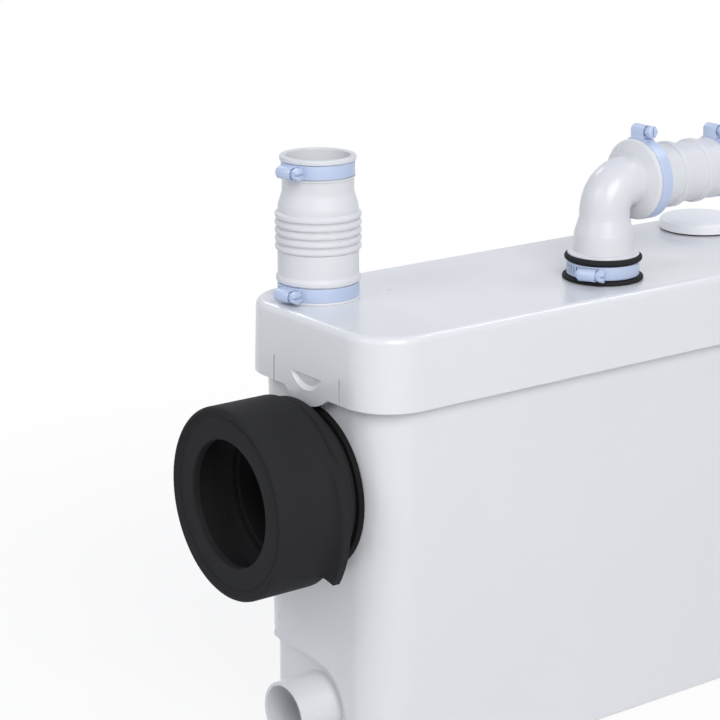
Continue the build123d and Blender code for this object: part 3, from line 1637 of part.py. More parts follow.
# Capacitor lying in its saddle, and the terminal block
capacitor_height = dry_top + capacitor_radius + loose_gap
with BuildPart() as capacitor:
    with BuildSketch(
        Plane(origin=(capacitor_along, capacitor_across, capacitor_height), z_dir=(1, 0, 0))
    ):
        Circle(capacitor_radius)
    extrude(amount=capacitor_length)
    fillet(capacitor.edges().filter_by(GeomType.CIRCLE), capacitor_rounding)
    for side in (-1, 1):
        tab_place = (
            capacitor_along + capacitor_length + capacitor_tab / 2,
            capacitor_across + side * capacitor_radius / 3,
            capacitor_height,
        )
        with Locations(tab_place):
            Box(capacitor_tab, capacitor_tab_thickness, capacitor_tab)
finish(capacitor.part, "capacitor")

with BuildPart() as terminal_block:
    with Locations((terminal_along, terminal_across, dry_top)):
        Box(
            terminal_length,
            terminal_width,
            terminal_height,
            align=(Align.CENTER, Align.CENTER, Align.MIN),
        )
    with Locations((terminal_along, terminal_across, dry_top + terminal_height)):
        with GridLocations(terminal_length / terminal_count, terminal_width / 2, terminal_count, 2):
            Cylinder(
                terminal_screw_radius,
                terminal_height / 2,
                align=(Align.CENTER, Align.CENTER, Align.MAX),
                mode=Mode.SUBTRACT,
            )
finish(terminal_block.part, "terminal_block")
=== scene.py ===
"""Dressed model of a macerator toilet pump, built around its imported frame."""
import json
from math import cos, pi, radians, sin, sqrt, tan

import bmesh
import bpy
from mathutils import Matrix, Vector


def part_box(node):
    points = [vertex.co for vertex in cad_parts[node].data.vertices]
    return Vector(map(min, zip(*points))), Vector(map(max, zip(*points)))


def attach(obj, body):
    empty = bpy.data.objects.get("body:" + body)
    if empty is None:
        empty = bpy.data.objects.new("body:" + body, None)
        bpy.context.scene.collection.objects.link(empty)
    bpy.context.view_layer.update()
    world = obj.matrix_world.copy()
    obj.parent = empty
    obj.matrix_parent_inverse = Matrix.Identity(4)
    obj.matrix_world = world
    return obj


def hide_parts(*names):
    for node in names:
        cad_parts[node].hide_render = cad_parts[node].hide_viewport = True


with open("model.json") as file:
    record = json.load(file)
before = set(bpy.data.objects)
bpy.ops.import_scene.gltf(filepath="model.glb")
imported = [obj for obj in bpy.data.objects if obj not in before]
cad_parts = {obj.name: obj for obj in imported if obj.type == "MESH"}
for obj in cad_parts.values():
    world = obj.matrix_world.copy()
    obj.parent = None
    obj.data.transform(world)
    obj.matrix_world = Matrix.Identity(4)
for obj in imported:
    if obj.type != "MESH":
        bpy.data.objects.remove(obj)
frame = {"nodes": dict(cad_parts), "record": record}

bl_info = {
    "name": "Macerator toilet pump",
    "version": (1, 0, 0),
    "blender": (4, 5, 0),
    "location": "View3D > Sidebar > Pump",
    "description": "Builds the pump's shells, rubber pieces, hose clamps and finishes",
    "category": "Object",
}

MM = 0.001
TURN_STEPS = 96
TANK = "tank_set"
LID = "lid_set"

# The tank at its foot and the slope of its walls, then the heights and places of the pipes.
# These and all other sizes are in millimetres, if nothing else is said.
HALF_LONG, HALF_DEEP = 204.4, 65.9
DRAFT = tan(radians(0.59))
INLET_HEIGHT = 185.9
STUB_HEIGHT = 37.2
LID_TOP = 293.0
OUTLET_AT = (-32.0, 354.2)
SLEEVE_AT = (-175.25, 37.5)
COLLAR_AT = (0, -32.0)
CAP_AT = (152.5, 34.5)
MOTOR_ALONG = -62.0


# The looks of the surfaces
EVEN = (1.0, 1.0, 1.0)


class Value:
    """A shader socket that takes part in Python arithmetic."""

    def __init__(self, finish, socket):
        self.finish = finish
        self.socket = socket

    def maths(self, operation, first, second):
        return self.finish.node("ShaderNodeMath", {"operation": operation}, {0: first, 1: second})

    def __add__(self, other):
        return self.maths("ADD", self, other)

    def __radd__(self, other):
        return self.maths("ADD", other, self)

    def __mul__(self, other):
        return self.maths("MULTIPLY", self, other)

    def __rmul__(self, other):
        return self.maths("MULTIPLY", other, self)


class Finish:
    """A material, or the world, and the nodes that make its look."""

    def __init__(self, name, owner=None):
        self.material = owner or bpy.data.materials.new(name)
        self.material.use_nodes = True
        self.tree = self.material.node_tree
        self.tree.nodes.clear()

    def node(self, kind, settings=None, inputs=None, output=0):
        made = self.tree.nodes.new(kind)
        for key, setting in (settings or {}).items():
            if key == "stops":
                for stop, (place, colour) in zip(made.color_ramp.elements, setting):
                    stop.position = place
                    stop.color = colour
            else:
                setattr(made, key, setting)
        for key, given in (inputs or {}).items():
            if isinstance(given, Value):
                self.tree.links.new(given.socket, made.inputs[key])
            else:
                made.inputs[key].default_value = given
        return Value(self, made.outputs[output]) if len(made.outputs) else None

    def place(self, scale=EVEN):
        """Object coordinates, stretched by a scale along each axis."""
        coordinates = self.node("ShaderNodeTexCoord", output="Object")
        return self.node("ShaderNodeMapping", None, {"Vector": coordinates, "Scale": scale})

    def noise(self, where, scale, detail, roughness=0.5):
        inputs = {"Vector": where, "Scale": scale, "Detail": detail, "Roughness": roughness}
        return self.node("ShaderNodeTexNoise", None, inputs)

    def blend(self, share, first, second):
        """Colour between two colours."""
        return self.node(
            "ShaderNodeMix", {"data_type": "RGBA"}, {0: share, 6: first, 7: second}, output=2
        )

    def step(self, given, low, high):
        """Zero below low, one above high and smooth between."""
        return self.node(
            "ShaderNodeMapRange",
            {"interpolation_type": "SMOOTHSTEP"},
            {"Value": given, "From Min": low, "From Max": high},
        )

    def bump(self, height, distance, strength):
        inputs = {"Height": height, "Distance": distance, "Strength": strength}
        return self.node("ShaderNodeBump", None, inputs)

    def surface(self, **inputs):
        """Principled surface; names are its sockets, with underscores for spaces."""
        named = {key.replace("_", " "): given for key, given in inputs.items()}
        shader = self.node("ShaderNodeBsdfPrincipled", None, named)
        self.node("ShaderNodeOutputMaterial", None, {"Surface": shader})
        return self.material


def tone(colour, factor):
    """A colour made lighter or darker."""
    return tuple(channel * factor for channel in colour[:3]) + (1.0,)


def moulded_finish(name, colour, roughness, grain=0.00003, coat=0.0, specular=0.5):
    """Injection-moulded plastic: a fine skin, faint flow marks and a slightly uneven gloss."""
    finish = Finish(name)
    where = finish.place()
    skin = finish.noise(where, 900.0, 3.0)
    flow = finish.noise(finish.place((1.0, 1.0, 0.35)), 14.0, 2.0)
    spread = finish.noise(where, 60.0, 3.0)
    return finish.surface(
        Base_Color=finish.blend(flow, tone(colour, 0.985), tone(colour, 1.015)),
        Roughness=roughness - 0.05 + 0.1 * spread,
        Coat_Weight=coat,
        Coat_Roughness=0.08,
        Specular_IOR_Level=specular,
        Normal=finish.bump(skin, grain, 0.6),
    )


def rubber_finish(name, colour, roughness):
    """Moulded rubber: a dull skin with fine grain and slightly paler patches."""
    finish = Finish(name)
    where = finish.place()
    skin = finish.noise(where, 1400.0, 4.0, 0.6)
    patches = finish.noise(where, 35.0, 4.0)
    return finish.surface(
        Base_Color=finish.blend(patches, tone(colour, 0.9), tone(colour, 1.1)),
        Roughness=roughness - 0.06 + 0.12 * patches,
        Specular_IOR_Level=0.03,
        Normal=finish.bump(skin, 0.00012, 0.5),
    )


def metal_finish(name, colour, roughness, lay=(1.0, 1.0, 30.0), metal=1.0):
    """Rolled metal: fine streaks across one direction, and soft smudges."""
    finish = Finish(name)
    streaks = finish.noise(finish.place(lay), 120.0, 5.0, 0.6)
    smudges = finish.noise(finish.place(), 70.0, 3.0)
    return finish.surface(
        Base_Color=finish.blend(streaks, tone(colour, 0.93), tone(colour, 1.05)),
        Metallic=metal,
        Roughness=roughness - 0.08 + 0.08 * streaks + 0.08 * smudges,
        Normal=finish.bump(streaks, 0.00002, 0.5),
    )


def laminated_finish(name, colour):
    """Stacked sheet steel, with a fine line between each two sheets."""
    finish = Finish(name)
    lines = finish.node(
        "ShaderNodeTexWave",
        {"bands_direction": "Z"},
        {"Vector": finish.place(), "Scale": 320.0, "Distortion": 0.0},
    )
    stains = finish.noise(finish.place(), 90.0, 4.0)
    return finish.surface(
        Base_Color=finish.blend(lines, tone(colour, 0.75), tone(colour, 1.1)),
        Metallic=0.8,
        Roughness=0.4 + 0.15 * stains,
        Normal=finish.bump(lines, 0.0001, 0.6),
    )


def wire_finish(name, colour):
    """Enamelled copper wire, wound side by side."""
    finish = Finish(name)
    turns = finish.noise(finish.place((1.0, 1.0, 12.0)), 260.0, 2.0)
    return finish.surface(
        Base_Color=finish.blend(turns, tone(colour, 0.7), tone(colour, 1.15)),
        Metallic=0.85,
        Roughness=0.3 + 0.1 * turns,
        Normal=finish.bump(turns, 0.0003, 0.8),
    )


def carbon_finish(name, colour):
    """Pressed grains of active carbon."""
    finish = Finish(name)
    inputs = {"Vector": finish.place(), "Scale": 700.0}
    grains = finish.node("ShaderNodeTexVoronoi", None, inputs)
    return finish.surface(
        Base_Color=finish.blend(grains, tone(colour, 0.6), tone(colour, 1.8)),
        Roughness=0.75 + 0.1 * grains,
        Normal=finish.bump(grains, 0.0004, 0.9),
    )


# Modelling in edit mode
def alone():
    """Object mode with nothing selected."""
    if bpy.context.object and bpy.context.object.mode != "OBJECT":
        bpy.ops.object.mode_set(mode="OBJECT")
    bpy.ops.object.select_all(action="DESELECT")


def only(piece):
    """Object mode with one piece selected and active."""
    alone()
    piece.select_set(True)
    bpy.context.view_layer.objects.active = piece


def everything():
    """Selects the whole of the mesh that is open."""
    bpy.ops.mesh.select_mode(type="VERT")
    bpy.ops.mesh.select_all(action="SELECT")


def opened(piece):
    """Opens a finished mesh for editing again."""
    only(piece)
    bpy.ops.object.mode_set(mode="EDIT")
    everything()


def started(name):
    """Names the primitive just added, puts its place in its mesh and opens it for editing."""
    piece = bpy.context.active_object
    piece.name = name
    piece.data.name = name
    bpy.ops.object.transform_apply(location=True, rotation=True, scale=True)
    bpy.ops.object.mode_set(mode="EDIT")
    everything()
    return piece


def pick(piece, kind, test):
    """Selects what passes a test: vertices, edges or faces."""
    bpy.ops.mesh.select_mode(type=kind)
    bpy.ops.mesh.select_all(action="DESELECT")
    shape = bmesh.from_edit_mesh(piece.data)
    parts = {"VERT": shape.verts, "EDGE": shape.edges, "FACE": shape.faces}[kind]
    for part in parts:
        if test(part):
            part.select_set(True)
    shape.select_flush_mode()
    bmesh.update_edit_mesh(piece.data)


def middle_of(part):
    return sum((vertex.co for vertex in part.verts), Vector()) / len(part.verts)


def level(height, reach=0.02 * MM):
    """Test for parts that lie wholly at one height."""
    return lambda part: all(abs(vertex.co.z - height) < reach for vertex in part.verts)


def facing_z(sign, height):
    """Test for faces that look up, or down, at one height."""
    return lambda face: face.normal.z * sign > 0.9 and abs(middle_of(face).z - height) < 0.05 * MM


def rounded_off(width, segments):
    """Rounds the selected edges."""
    bpy.ops.mesh.bevel(offset=width * MM, segments=segments, affect="EDGES")


def pulled(along, up):
    """Extrudes what is selected."""
    bpy.ops.mesh.extrude_region_move(TRANSFORM_OT_translate={"value": (along * MM, 0, up * MM)})


def closed_mesh():
    """Merges doubles and points the faces outwards, then leaves edit mode."""
    everything()
    bpy.ops.mesh.remove_doubles(threshold=0.002 * MM)
    bpy.ops.mesh.normals_make_consistent(inside=False)
    bpy.ops.object.mode_set(mode="OBJECT")


def finished_by(piece, kind, **settings):
    """Adds a modifier and applies it."""
    only(piece)
    modifier = piece.modifiers.new(kind.title(), kind)
    for key, setting in settings.items():
        setattr(modifier, key, setting)
    bpy.ops.object.modifier_apply(modifier=modifier.name)


def softened(piece, width, segments, angle):
    """Rounds the sharp edges of a finished mesh."""
    finished_by(
        piece, "BEVEL", width=width, segments=segments, limit_method="ANGLE",
        angle_limit=radians(angle), miter_outer="MITER_ARC",
    )


def joined(piece, tool, operation):
    """Cuts a tool from a piece or unites both, and removes the tool."""
    finished_by(piece, "BOOLEAN", operation=operation, object=tool, solver="EXACT")
    bpy.data.objects.remove(tool)


def cut(piece, tool):
    joined(piece, tool, "DIFFERENCE")


def unite(piece, tool):
    joined(piece, tool, "UNION")


def block(name, low, high):
    """A box between two corners, left open for editing."""
    alone()
    low, high = Vector(low) * MM, Vector(high) * MM
    bpy.ops.mesh.primitive_cube_add(size=1.0, location=(low + high) / 2, scale=high - low)
    return started(name)


def rod(name, middle, radius, length, axis, sides=TURN_STEPS, end_radius=None):
    """A round or many-sided rod about an axis, left open for editing."""
    alone()
    turn = Vector(axis).to_track_quat("Z", "Y").to_euler()
    bpy.ops.mesh.primitive_cone_add(
        vertices=sides,
        radius1=radius * MM,
        radius2=(radius if end_radius is None else end_radius) * MM,
        depth=length * MM,
        location=Vector(middle) * MM,
        rotation=turn,
    )
    return started(name)


def leave(piece):
    """Ends editing and gives the piece back."""
    bpy.ops.object.mode_set(mode="OBJECT")
    return piece


def end_block(name, side, along, across, up):
    """A block on one end of the object, given by two places along, across and up."""
    near, far = sorted(side * place for place in along)
    return leave(block(name, (near, across[0], up[0]), (far, across[1], up[1])))


def kept_side(point, normal):
    """Cuts the open mesh by a plane, closes it and drops what is on the normal's side."""
    bpy.ops.mesh.select_all(action="SELECT")
    bpy.ops.mesh.bisect(
        plane_co=Vector(point) * MM, plane_no=normal, use_fill=True, clear_outer=True
    )


def drawn(name, corners, closed, roundings):
    """A wire outline: one vertex extruded from corner to corner, its corners then rounded."""
    alone()
    places = [Vector(corner) * MM for corner in corners]
    bpy.ops.mesh.primitive_plane_add(size=MM, location=places[0])
    piece = started(name)
    bpy.ops.mesh.merge(type="CENTER")
    for before, after in zip(places, places[1:]):
        bpy.ops.mesh.extrude_vertices_move(TRANSFORM_OT_translate={"value": after - before})
    if closed:
        ends = (places[0], places[-1])
        pick(piece, "VERT", lambda vertex: min((vertex.co - end).length for end in ends) < 1e-6)
        bpy.ops.mesh.edge_face_add()
    count = len(places)
    for number, radius in roundings:
        here = places[number]
        back = (places[number - 1] - here).normalized()
        ahead = (places[(number + 1) % count] - here).normalized()
        reach = radius * MM / tan(back.angle(ahead) / 2)
        pick(piece, "VERT", lambda vertex: (vertex.co - here).length < 1e-6)
        bpy.ops.mesh.bevel(offset=reach, segments=5, affect="VERTICES")
    bpy.ops.mesh.select_all(action="SELECT")
    return piece


def turned(name, corners, centre, axis, angle=360.0, closed=True, roundings=()):
    """An outline turned about an axis, by the right-hand rule."""
    piece = drawn(name, corners, closed, roundings)
    steps = max(8, round(TURN_STEPS * angle / 360))
    if angle < 360:
        bpy.ops.mesh.edge_face_add()
    bpy.ops.mesh.spin(steps=steps, angle=-radians(angle), center=Vector(centre) * MM, axis=axis)
    closed_mesh()
    return piece


def upright_turned(name, outline, along, across, **settings):
    """An outline of (out, up) pairs turned about an upright axis."""
    corners = [(along + out, across, up) for out, up in outline]
    return turned(name, corners, (along, across, 0), (0, 0, 1), **settings)


def lying_turned(name, outline, across, height, **settings):
    """An outline of (along, out) pairs turned about an axis along X."""
    corners = [(along, across, height + out) for along, out in outline]
    return turned(name, corners, (0, across, height), (1, 0, 0), **settings)


def upright_edge(edge):
    return abs(edge.verts[0].co.z - edge.verts[1].co.z) > 0.1 * MM


def spread(half_long, half_deep, out, height):
    """Moves the selected level ring outwards by the same distance on all sides."""
    factors = ((half_long + out) / half_long, (half_deep + out) / half_deep, 1.0)
    bpy.ops.transform.resize(value=factors, center_override=(0, 0, height * MM))


def drafted_block(name, height, corner, inset=0.0):
    """Block in the tank's outer shape, from the floor up, set in from the outside."""
    half_long, half_deep = HALF_LONG - inset, HALF_DEEP - inset
    piece = block(name, (-half_long, -half_deep, 0), (half_long, half_deep, height))
    pick(piece, "EDGE", upright_edge)
    rounded_off(corner - inset, 16)
    pick(piece, "FACE", facing_z(1, height * MM))
    spread(half_long, half_deep, height * DRAFT, height)
    return piece


def moved(piece, matrix):
    """Turns and moves a finished mesh, with its object left at the origin."""
    piece.data.transform(matrix)
    piece.data.update()
    return piece


def cleaned(piece):
    """Removes the edges and faces without size that a cut can leave."""
    opened(piece)
    bpy.ops.mesh.remove_doubles(threshold=0.002 * MM)
    bpy.ops.mesh.dissolve_degenerate(threshold=0.001 * MM)
    bpy.ops.mesh.delete_loose()
    bpy.ops.object.mode_set(mode="OBJECT")


def dressed(piece, slot, body, *nodes, finish=None, angle=32.0):
    """Gives a finished mesh its material, its body and the nodes that it stands for."""
    cleaned(piece)
    only(piece)
    bpy.ops.object.shade_smooth_by_angle(angle=radians(angle))
    piece.data.materials.clear()
    piece.data.materials.append(finish_for(finish or slot))
    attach(piece, body)
    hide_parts(*nodes)


def finish_for(slot):
    """The finish of a material slot, made once."""
    name = f"{slot}_finish"
    return bpy.data.materials.get(name) or FINISHES[slot](name, bpy.context.scene.pump_colours)


FINISHES = {
    "body_plastic": lambda name, c: moulded_finish(name, c.shell, 0.30, coat=0.25),
    "white_rubber": lambda name, c: moulded_finish(name, c.white_rubber, 0.45, 0.00005),
    "black_rubber": lambda name, c: rubber_finish(name, c.black_rubber, 0.56),
    "white_plastic": lambda name, c: moulded_finish(name, c.white_plastic, 0.32, coat=0.15),
    # Painted light: a lighter copy of the white plastic, brighter to stand for light on the cap's
    # top.
    "cap_plastic": lambda name, c: moulded_finish(name, c.cap_plastic, 0.32, coat=0.15),
    "clamp_steel": lambda name, c: metal_finish(name, c.clamp, 0.42, metal=0.2),
    "dark_plastic": lambda name, c: moulded_finish(
        name, c.dark_plastic, 0.5, 0.0001, specular=0.06
    ),
    "grey_plastic": lambda name, c: moulded_finish(name, c.grey_plastic, 0.45, 0.0001),
    "stainless": lambda name, c: metal_finish(name, (0.58, 0.59, 0.61, 1.0), 0.34),
    "lamination_steel": lambda name, c: laminated_finish(name, (0.3, 0.31, 0.33, 1.0)),
    "copper": lambda name, c: wire_finish(name, (0.72, 0.33, 0.14, 1.0)),
    "housing_aluminium": lambda name, c: metal_finish(name, (0.66, 0.67, 0.69, 1.0), 0.48, EVEN),
    "carbon": lambda name, c: carbon_finish(name, (0.03, 0.03, 0.032, 1.0)),
}


def length(name, description, default):
    """A size in millimetres."""
    return bpy.props.FloatProperty(name=name, description=description, default=default, min=0.0)


def colour(name, description, default):
    """A colour with full cover."""
    return bpy.props.FloatVectorProperty(
        name=name, description=description, default=default + (1.0,),
        size=4, min=0.0, max=1.0, subtype="COLOR",
    )


class PumpColours(bpy.types.PropertyGroup):
    """Colours of the pump's materials."""

    shell: colour("Shell", "Moulded plastic of the tank and the lid", (0.785, 0.782, 0.785))
    white_rubber: colour("White rubber", "Sleeve and outlet connector", (0.74, 0.74, 0.75))
    black_rubber: colour("Black rubber", "Cuff, collar and seals", (0.027, 0.027, 0.028))
    white_plastic: colour("White plastic", "Elbow and stubs", (0.73, 0.73, 0.74))
    # Painted light: the cap's white plastic made lighter to stand for light on its top.
    cap_plastic: colour("Cap plastic", "Service cap", (0.94, 0.94, 0.95))
    clamp: colour("Clamps", "Steel of the hose clamps", (0.525, 0.61, 0.79))
    dark_plastic: colour("Dark plastic", "Ring, gland and switch", (0.012, 0.012, 0.0125))
    grey_plastic: colour("Grey plastic", "Decks, volute and basket", (0.40, 0.42, 0.45))


class ShellSizes(bpy.types.PropertyGroup):
    """Sizes of the tank's and the lid's shells, in millimetres."""

    lid_corner: length("Lid corner", "Radius of the lid's upright corners", 32.0)
    lid_rounding: length("Lid rounding", "Radius of the lid's top edge", 5.0)
    lid_wall: length("Lid wall", "Thickness of the lid's skirt", 3.0)
    tank_corner: length("Tank corner", "Radius of the tank's upright corners", 29.0)
    tank_wall: length("Tank wall", "Thickness of the tank's wall", 3.5)
    base_rounding: length("Base rounding", "Radius of the tank's bottom edge", 2.5)
    slit_width: length("Slit width", "Width of the slits beside a clip tongue", 1.3)
    slit_height: length("Slit height", "Height of the slits beside a clip tongue", 16.0)
    thumb_depth: length("Thumb depth", "Depth of the thumb recess at its straight edge", 1.6)


class RubberSizes(bpy.types.PropertyGroup):
    """Sizes of the rubber pieces, in millimetres."""

    rib_pitch: length("Rib pitch", "Distance between the sleeve's ribs", 5.0)
    rib_height: length("Rib height", "How far a rib stands out of the sleeve", 2.05)
    tab_radius: length("Tab radius", "Radius of the cuff's pull tab about its own axis", 71.0)


class ClampSizes(bpy.types.PropertyGroup):
    """Sizes of the hose clamps, in millimetres."""

    band_width: length("Band width", "Width of a clamp's band", 8.6)
    band_thickness: length("Band thickness", "Thickness of a clamp's band", 0.9)
    house_length: length("Housing length", "Length of the screw's housing", 11.4)
    head_across: length("Head across flats", "Size of the screw's head", 7.2)


class PumpStage(bpy.types.Operator):
    """Floor, lights, surroundings and camera"""

    bl_idname = "pump.stage"
    bl_label = "Stage"

    def execute(self, context):
        scene = context.scene
        scene.view_settings.view_transform = "Standard"
        alone()
        bpy.ops.mesh.primitive_plane_add(size=60.0, location=(0, 0, -0.0002))
        floor = bpy.context.active_object
        floor.name = "floor"
        finish = Finish("pale_floor")
        seen = self.seen(finish)
        place = finish.node("ShaderNodeTexCoord", output="Object")
        away = finish.node("ShaderNodeVectorMath", {"operation": "LENGTH"}, {0: place}, output=1)
        far = finish.step(away, 0.3, 0.9)
        ground = finish.node(
            "ShaderNodeBsdfDiffuse", None, {"Color": (0.88, 0.88, 0.88, 1.0), "Roughness": 0.5}
        )
        glow = finish.node("ShaderNodeEmission", None, {"Color": (1, 1, 1, 1), "Strength": 1.0})
        shown = finish.node(
            "ShaderNodeMixShader", None, {0: seen * (0.86 + 0.14 * far), 1: ground, 2: glow}
        )
        finish.node("ShaderNodeOutputMaterial", None, {"Surface": shown})
        floor.data.materials.append(finish.material)
        self.surroundings(scene)
        self.lamp("key", (-0.8, -1.85, 1.65), 1.6, 35.0, (1.0, 0.99, 0.98))
        self.lamp("edge_right", (1.72, -0.45, 2.45), 0.6, 8.0, (0.95, 0.97, 1.0))
        self.lamp("edge_back", (0.15, 2.3, 1.95), 0.6, 7.0, (0.95, 0.97, 1.0))
        self.lamp("side", (-2.0, 0.1, 1.6), 1.1, 8.2, (1.0, 1.0, 1.0))
        self.camera(scene)
        return {"FINISHED"}

    def seen(self, finish):
        """One for camera, mirror and see-through rays, and zero for the rest."""
        rays = finish.node("ShaderNodeLightPath")
        outputs = rays.socket.node.outputs
        kinds = [Value(finish, outputs[kind]) for kind in ("Is Glossy Ray", "Is Transmission Ray")]
        return rays + kinds[0] + kinds[1]

    def surroundings(self, scene):
        scene.world = bpy.data.worlds.new("studio")
        finish = Finish("studio", scene.world)
        place = finish.node("ShaderNodeTexCoord", output="Generated")
        parts = finish.node("ShaderNodeSeparateXYZ", None, {0: place}, output=2)
        sky = finish.blend(
            finish.step(parts, -0.1, 0.9), (0.99, 0.97, 0.945, 1.0), (0.42, 0.52, 0.75, 1.0)
        )
        shade = finish.blend(self.seen(finish), sky, (1.0, 1.0, 1.0, 1.0))
        inputs = {"Color": shade, "Strength": 0.5 + 0.5 * self.seen(finish)}
        glow = finish.node("ShaderNodeBackground", None, inputs)
        finish.node("ShaderNodeOutputWorld", None, {"Surface": glow})

    def lamp(self, name, place, size, power, colour):
        data = bpy.data.lights.new(name, "AREA")
        data.shape = "DISK"
        data.size = size
        data.energy = power
        data.color = colour
        lamp = bpy.data.objects.new(name, data)
        bpy.context.scene.collection.objects.link(lamp)
        lamp.location = place
        ahead = Vector((0, 0, 0.2)) - lamp.location
        lamp.rotation_euler = ahead.to_track_quat("-Z", "Y").to_euler()

    def camera(self, scene):
        data = bpy.data.cameras.new("camera")
        data.lens = 112.16
        data.sensor_width = 36.0
        data.clip_start = 0.05
        camera = bpy.data.objects.new("camera", data)
        scene.collection.objects.link(camera)
        camera.location = (-0.9623, -1.0670, 0.6399)
        heading, pitch = radians(36.565), radians(15.99)
        ahead = (sin(heading) * cos(pitch), cos(heading) * cos(pitch), -sin(pitch))
        camera.rotation_euler = Vector(ahead).to_track_quat("-Z", "Y").to_euler()
        scene.camera = camera


class AddTank(bpy.types.Operator):
    """Tank shell with its rim, end recesses, inlet spigot and ledges"""

    bl_idname = "pump.tank"
    bl_label = "Tank"

    def execute(self, context):
        sizes = context.scene.pump_shell
        rim_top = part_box("tank")[1].z / MM
        rim_rise, rim_out = 7.0, 2.2
        rim_bottom = rim_top - rim_rise
        tank = drafted_block("tank_shell", rim_bottom, sizes.tank_corner)
        pick(tank, "EDGE", level(0.0))
        rounded_off(sizes.base_rounding, 4)
        grown = rim_bottom * DRAFT
        pick(tank, "FACE", facing_z(1, rim_bottom * MM))
        pulled(0, 0)
        spread(HALF_LONG + grown, HALF_DEEP + grown, rim_out, rim_bottom)
        pulled(0, rim_rise)
        bpy.ops.mesh.inset(thickness=(sizes.tank_wall + rim_out) * MM)
        inner, floor = -(sizes.tank_wall - grown), 4.0
        pulled(0, floor - rim_top)
        spread(HALF_LONG + inner, HALF_DEEP + inner, -rim_top * DRAFT, floor)
        closed_mesh()
        self.ends(tank, sizes)
        self.spigot(tank)
        self.ledges(tank, sizes)
        self.gland_seat(tank, sizes)
        softened(tank, 0.7 * MM, 3, 42.0)
        dressed(tank, "body_plastic", TANK, "tank")
        finished_by(tank, "WEIGHTED_NORMAL", keep_sharp=True)
        # Painted shade: the spigot's bore and end get a dark finish for the shade in the hole.
        self.painted_shade_bore(tank)
        return {"FINISHED"}

    def painted_shade_bore(self, tank):
        """Painted shade: the inside and the end of the inlet spigot take the black rubber finish,
        dark to stand for the shade in the bore.
        """
        tank.data.materials.append(finish_for("black_rubber"))
        bpy.ops.object.mode_set(mode="EDIT")
        axis = Vector((0, INLET_HEIGHT * MM))
        pick(tank, "FACE", lambda face: middle_of(face).x < -HALF_LONG * MM
             and (middle_of(face).yz - axis).length < 44.0 * MM
             and all((vertex.co.yz - axis).length < 45.0 * MM for vertex in face.verts))
        tank.active_material_index = 1
        bpy.ops.object.material_slot_assign()
        bpy.ops.object.mode_set(mode="OBJECT")

    def ends(self, tank, sizes):
        """Recess low on each end, open to the base and carried round the back corner."""
        arch, deep, back_deep, clear, wall = 30.8, 4.1, 2.0, 0.3, sizes.tank_wall
        top, flat = STUB_HEIGHT + arch, STUB_HEIGHT + arch + 0.2
        recess = HALF_LONG + STUB_HEIGHT * DRAFT - deep
        back = HALF_DEEP + STUB_HEIGHT * DRAFT - back_deep
        run = recess - sizes.tank_corner - 20.0
        past, beyond = recess + 3.0, recess + 30.0
        for side in (-1, 1):
            pad = recess - wall
            up = (1.0, top + wall)
            unite(tank, end_block("pad", side, (pad, past), (-arch - wall, 48.7), up))
            up = (1.0 + clear, top + wall - clear)
            bend = end_block("pad_bend", side, (run - wall, past), (24.0, 90.0), up)
            corner = sizes.tank_corner - deep - wall
            cut(bend, self.core(recess - wall, back - wall, corner))
            outside = leave(drafted_block("outside", 90.0, sizes.tank_corner, 0.5))
            joined(bend, outside, "INTERSECT")
            unite(tank, bend)
            along, up = (recess, beyond), (-3.0, flat)
            opening = end_block("recess", side, along, (-arch, 150.0), (-3.0, STUB_HEIGHT))
            unite(opening, end_block("recess_top", side, along, (0.0, 150.0), up))
            middle = (side * (recess + beyond) / 2, 0, STUB_HEIGHT)
            unite(opening, leave(rod("arch", middle, arch, beyond - recess, (1, 0, 0))))
            cut(tank, opening)
            bend = end_block("bend", side, (run, beyond), (24.0, 150.0), up)
            cut(bend, self.core(recess, back, sizes.tank_corner - deep))
            cut(tank, bend)
            middle = (side * (recess + pad) / 2, 0, STUB_HEIGHT)
            cut(tank, leave(rod("stub_hole", middle, 21.95, 12.0, (1, 0, 0))))

    def core(self, half_long, half_deep, corner):
        """Upright block with round corners, for cutting a bend out of another."""
        piece = block("core", (-half_long, -half_deep, -9.0), (half_long, half_deep, 99.0))
        pick(piece, "EDGE", upright_edge)
        rounded_off(corner, 16)
        return leave(piece)

    def spigot(self, tank):
        """Pipe of the toilet inlet, on a seat that follows the wall."""
        seat_radius, spigot_radius, bore = 46.0, 44.5, 40.5
        seat = HALF_LONG + (INLET_HEIGHT + 52.5) * DRAFT + 0.15
        wall = HALF_LONG + (INLET_HEIGHT - seat_radius) * DRAFT - 3.5
        outline = [
            (-wall, bore), (-wall, seat_radius), (-seat, seat_radius), (-seat, spigot_radius),
            (-seat - 28.4, spigot_radius), (-seat - 28.4, bore),
        ]
        spigot = lying_turned("spigot", outline, 0, INLET_HEIGHT, roundings=[(4, 1.0), (5, 1.0)])
        middle = (-wall - 2.0, 0, INLET_HEIGHT)
        cut(tank, leave(rod("inlet_hole", middle, bore + 1.0, 30.0, (1, 0, 0))))
        unite(tank, spigot)

    def ledges(self, tank, sizes):
        """Ledges on the long walls that carry the motor's deck and the dry deck."""
        for middle, top, long in ((MOTOR_ALONG, 121.0, 88.0), (109.0, 196.0, 116.0)):
            foot = top - 8.0
            face = HALF_DEEP + foot * DRAFT - sizes.tank_wall / 2
            for side in (-1, 1):
                low, high = sorted((side * face, side * (face - 9.0)))
                lows = (middle - long / 2, low, foot)
                ledge = block("ledge", lows, (middle + long / 2, high, top))
                pick(ledge, "EDGE", level(foot * MM))
                rounded_off(1.2, 2)
                unite(tank, leave(ledge))

    def gland_seat(self, tank, sizes):
        """Boss and hole of the cable entry on the back wall."""
        along, height, radius = 160.0, 226.0, 13.0
        face = HALF_DEEP + (height + radius) * DRAFT + 0.15
        back = HALF_DEEP + height * DRAFT - sizes.tank_wall - 0.3
        middle = (along, (face + back) / 2, height)
        unite(tank, leave(rod("gland_boss", middle, radius, face - back, (0, 1, 0))))
        cut(tank, leave(rod("gland_hole", middle, 8.05, 20.0, (0, 1, 0))))


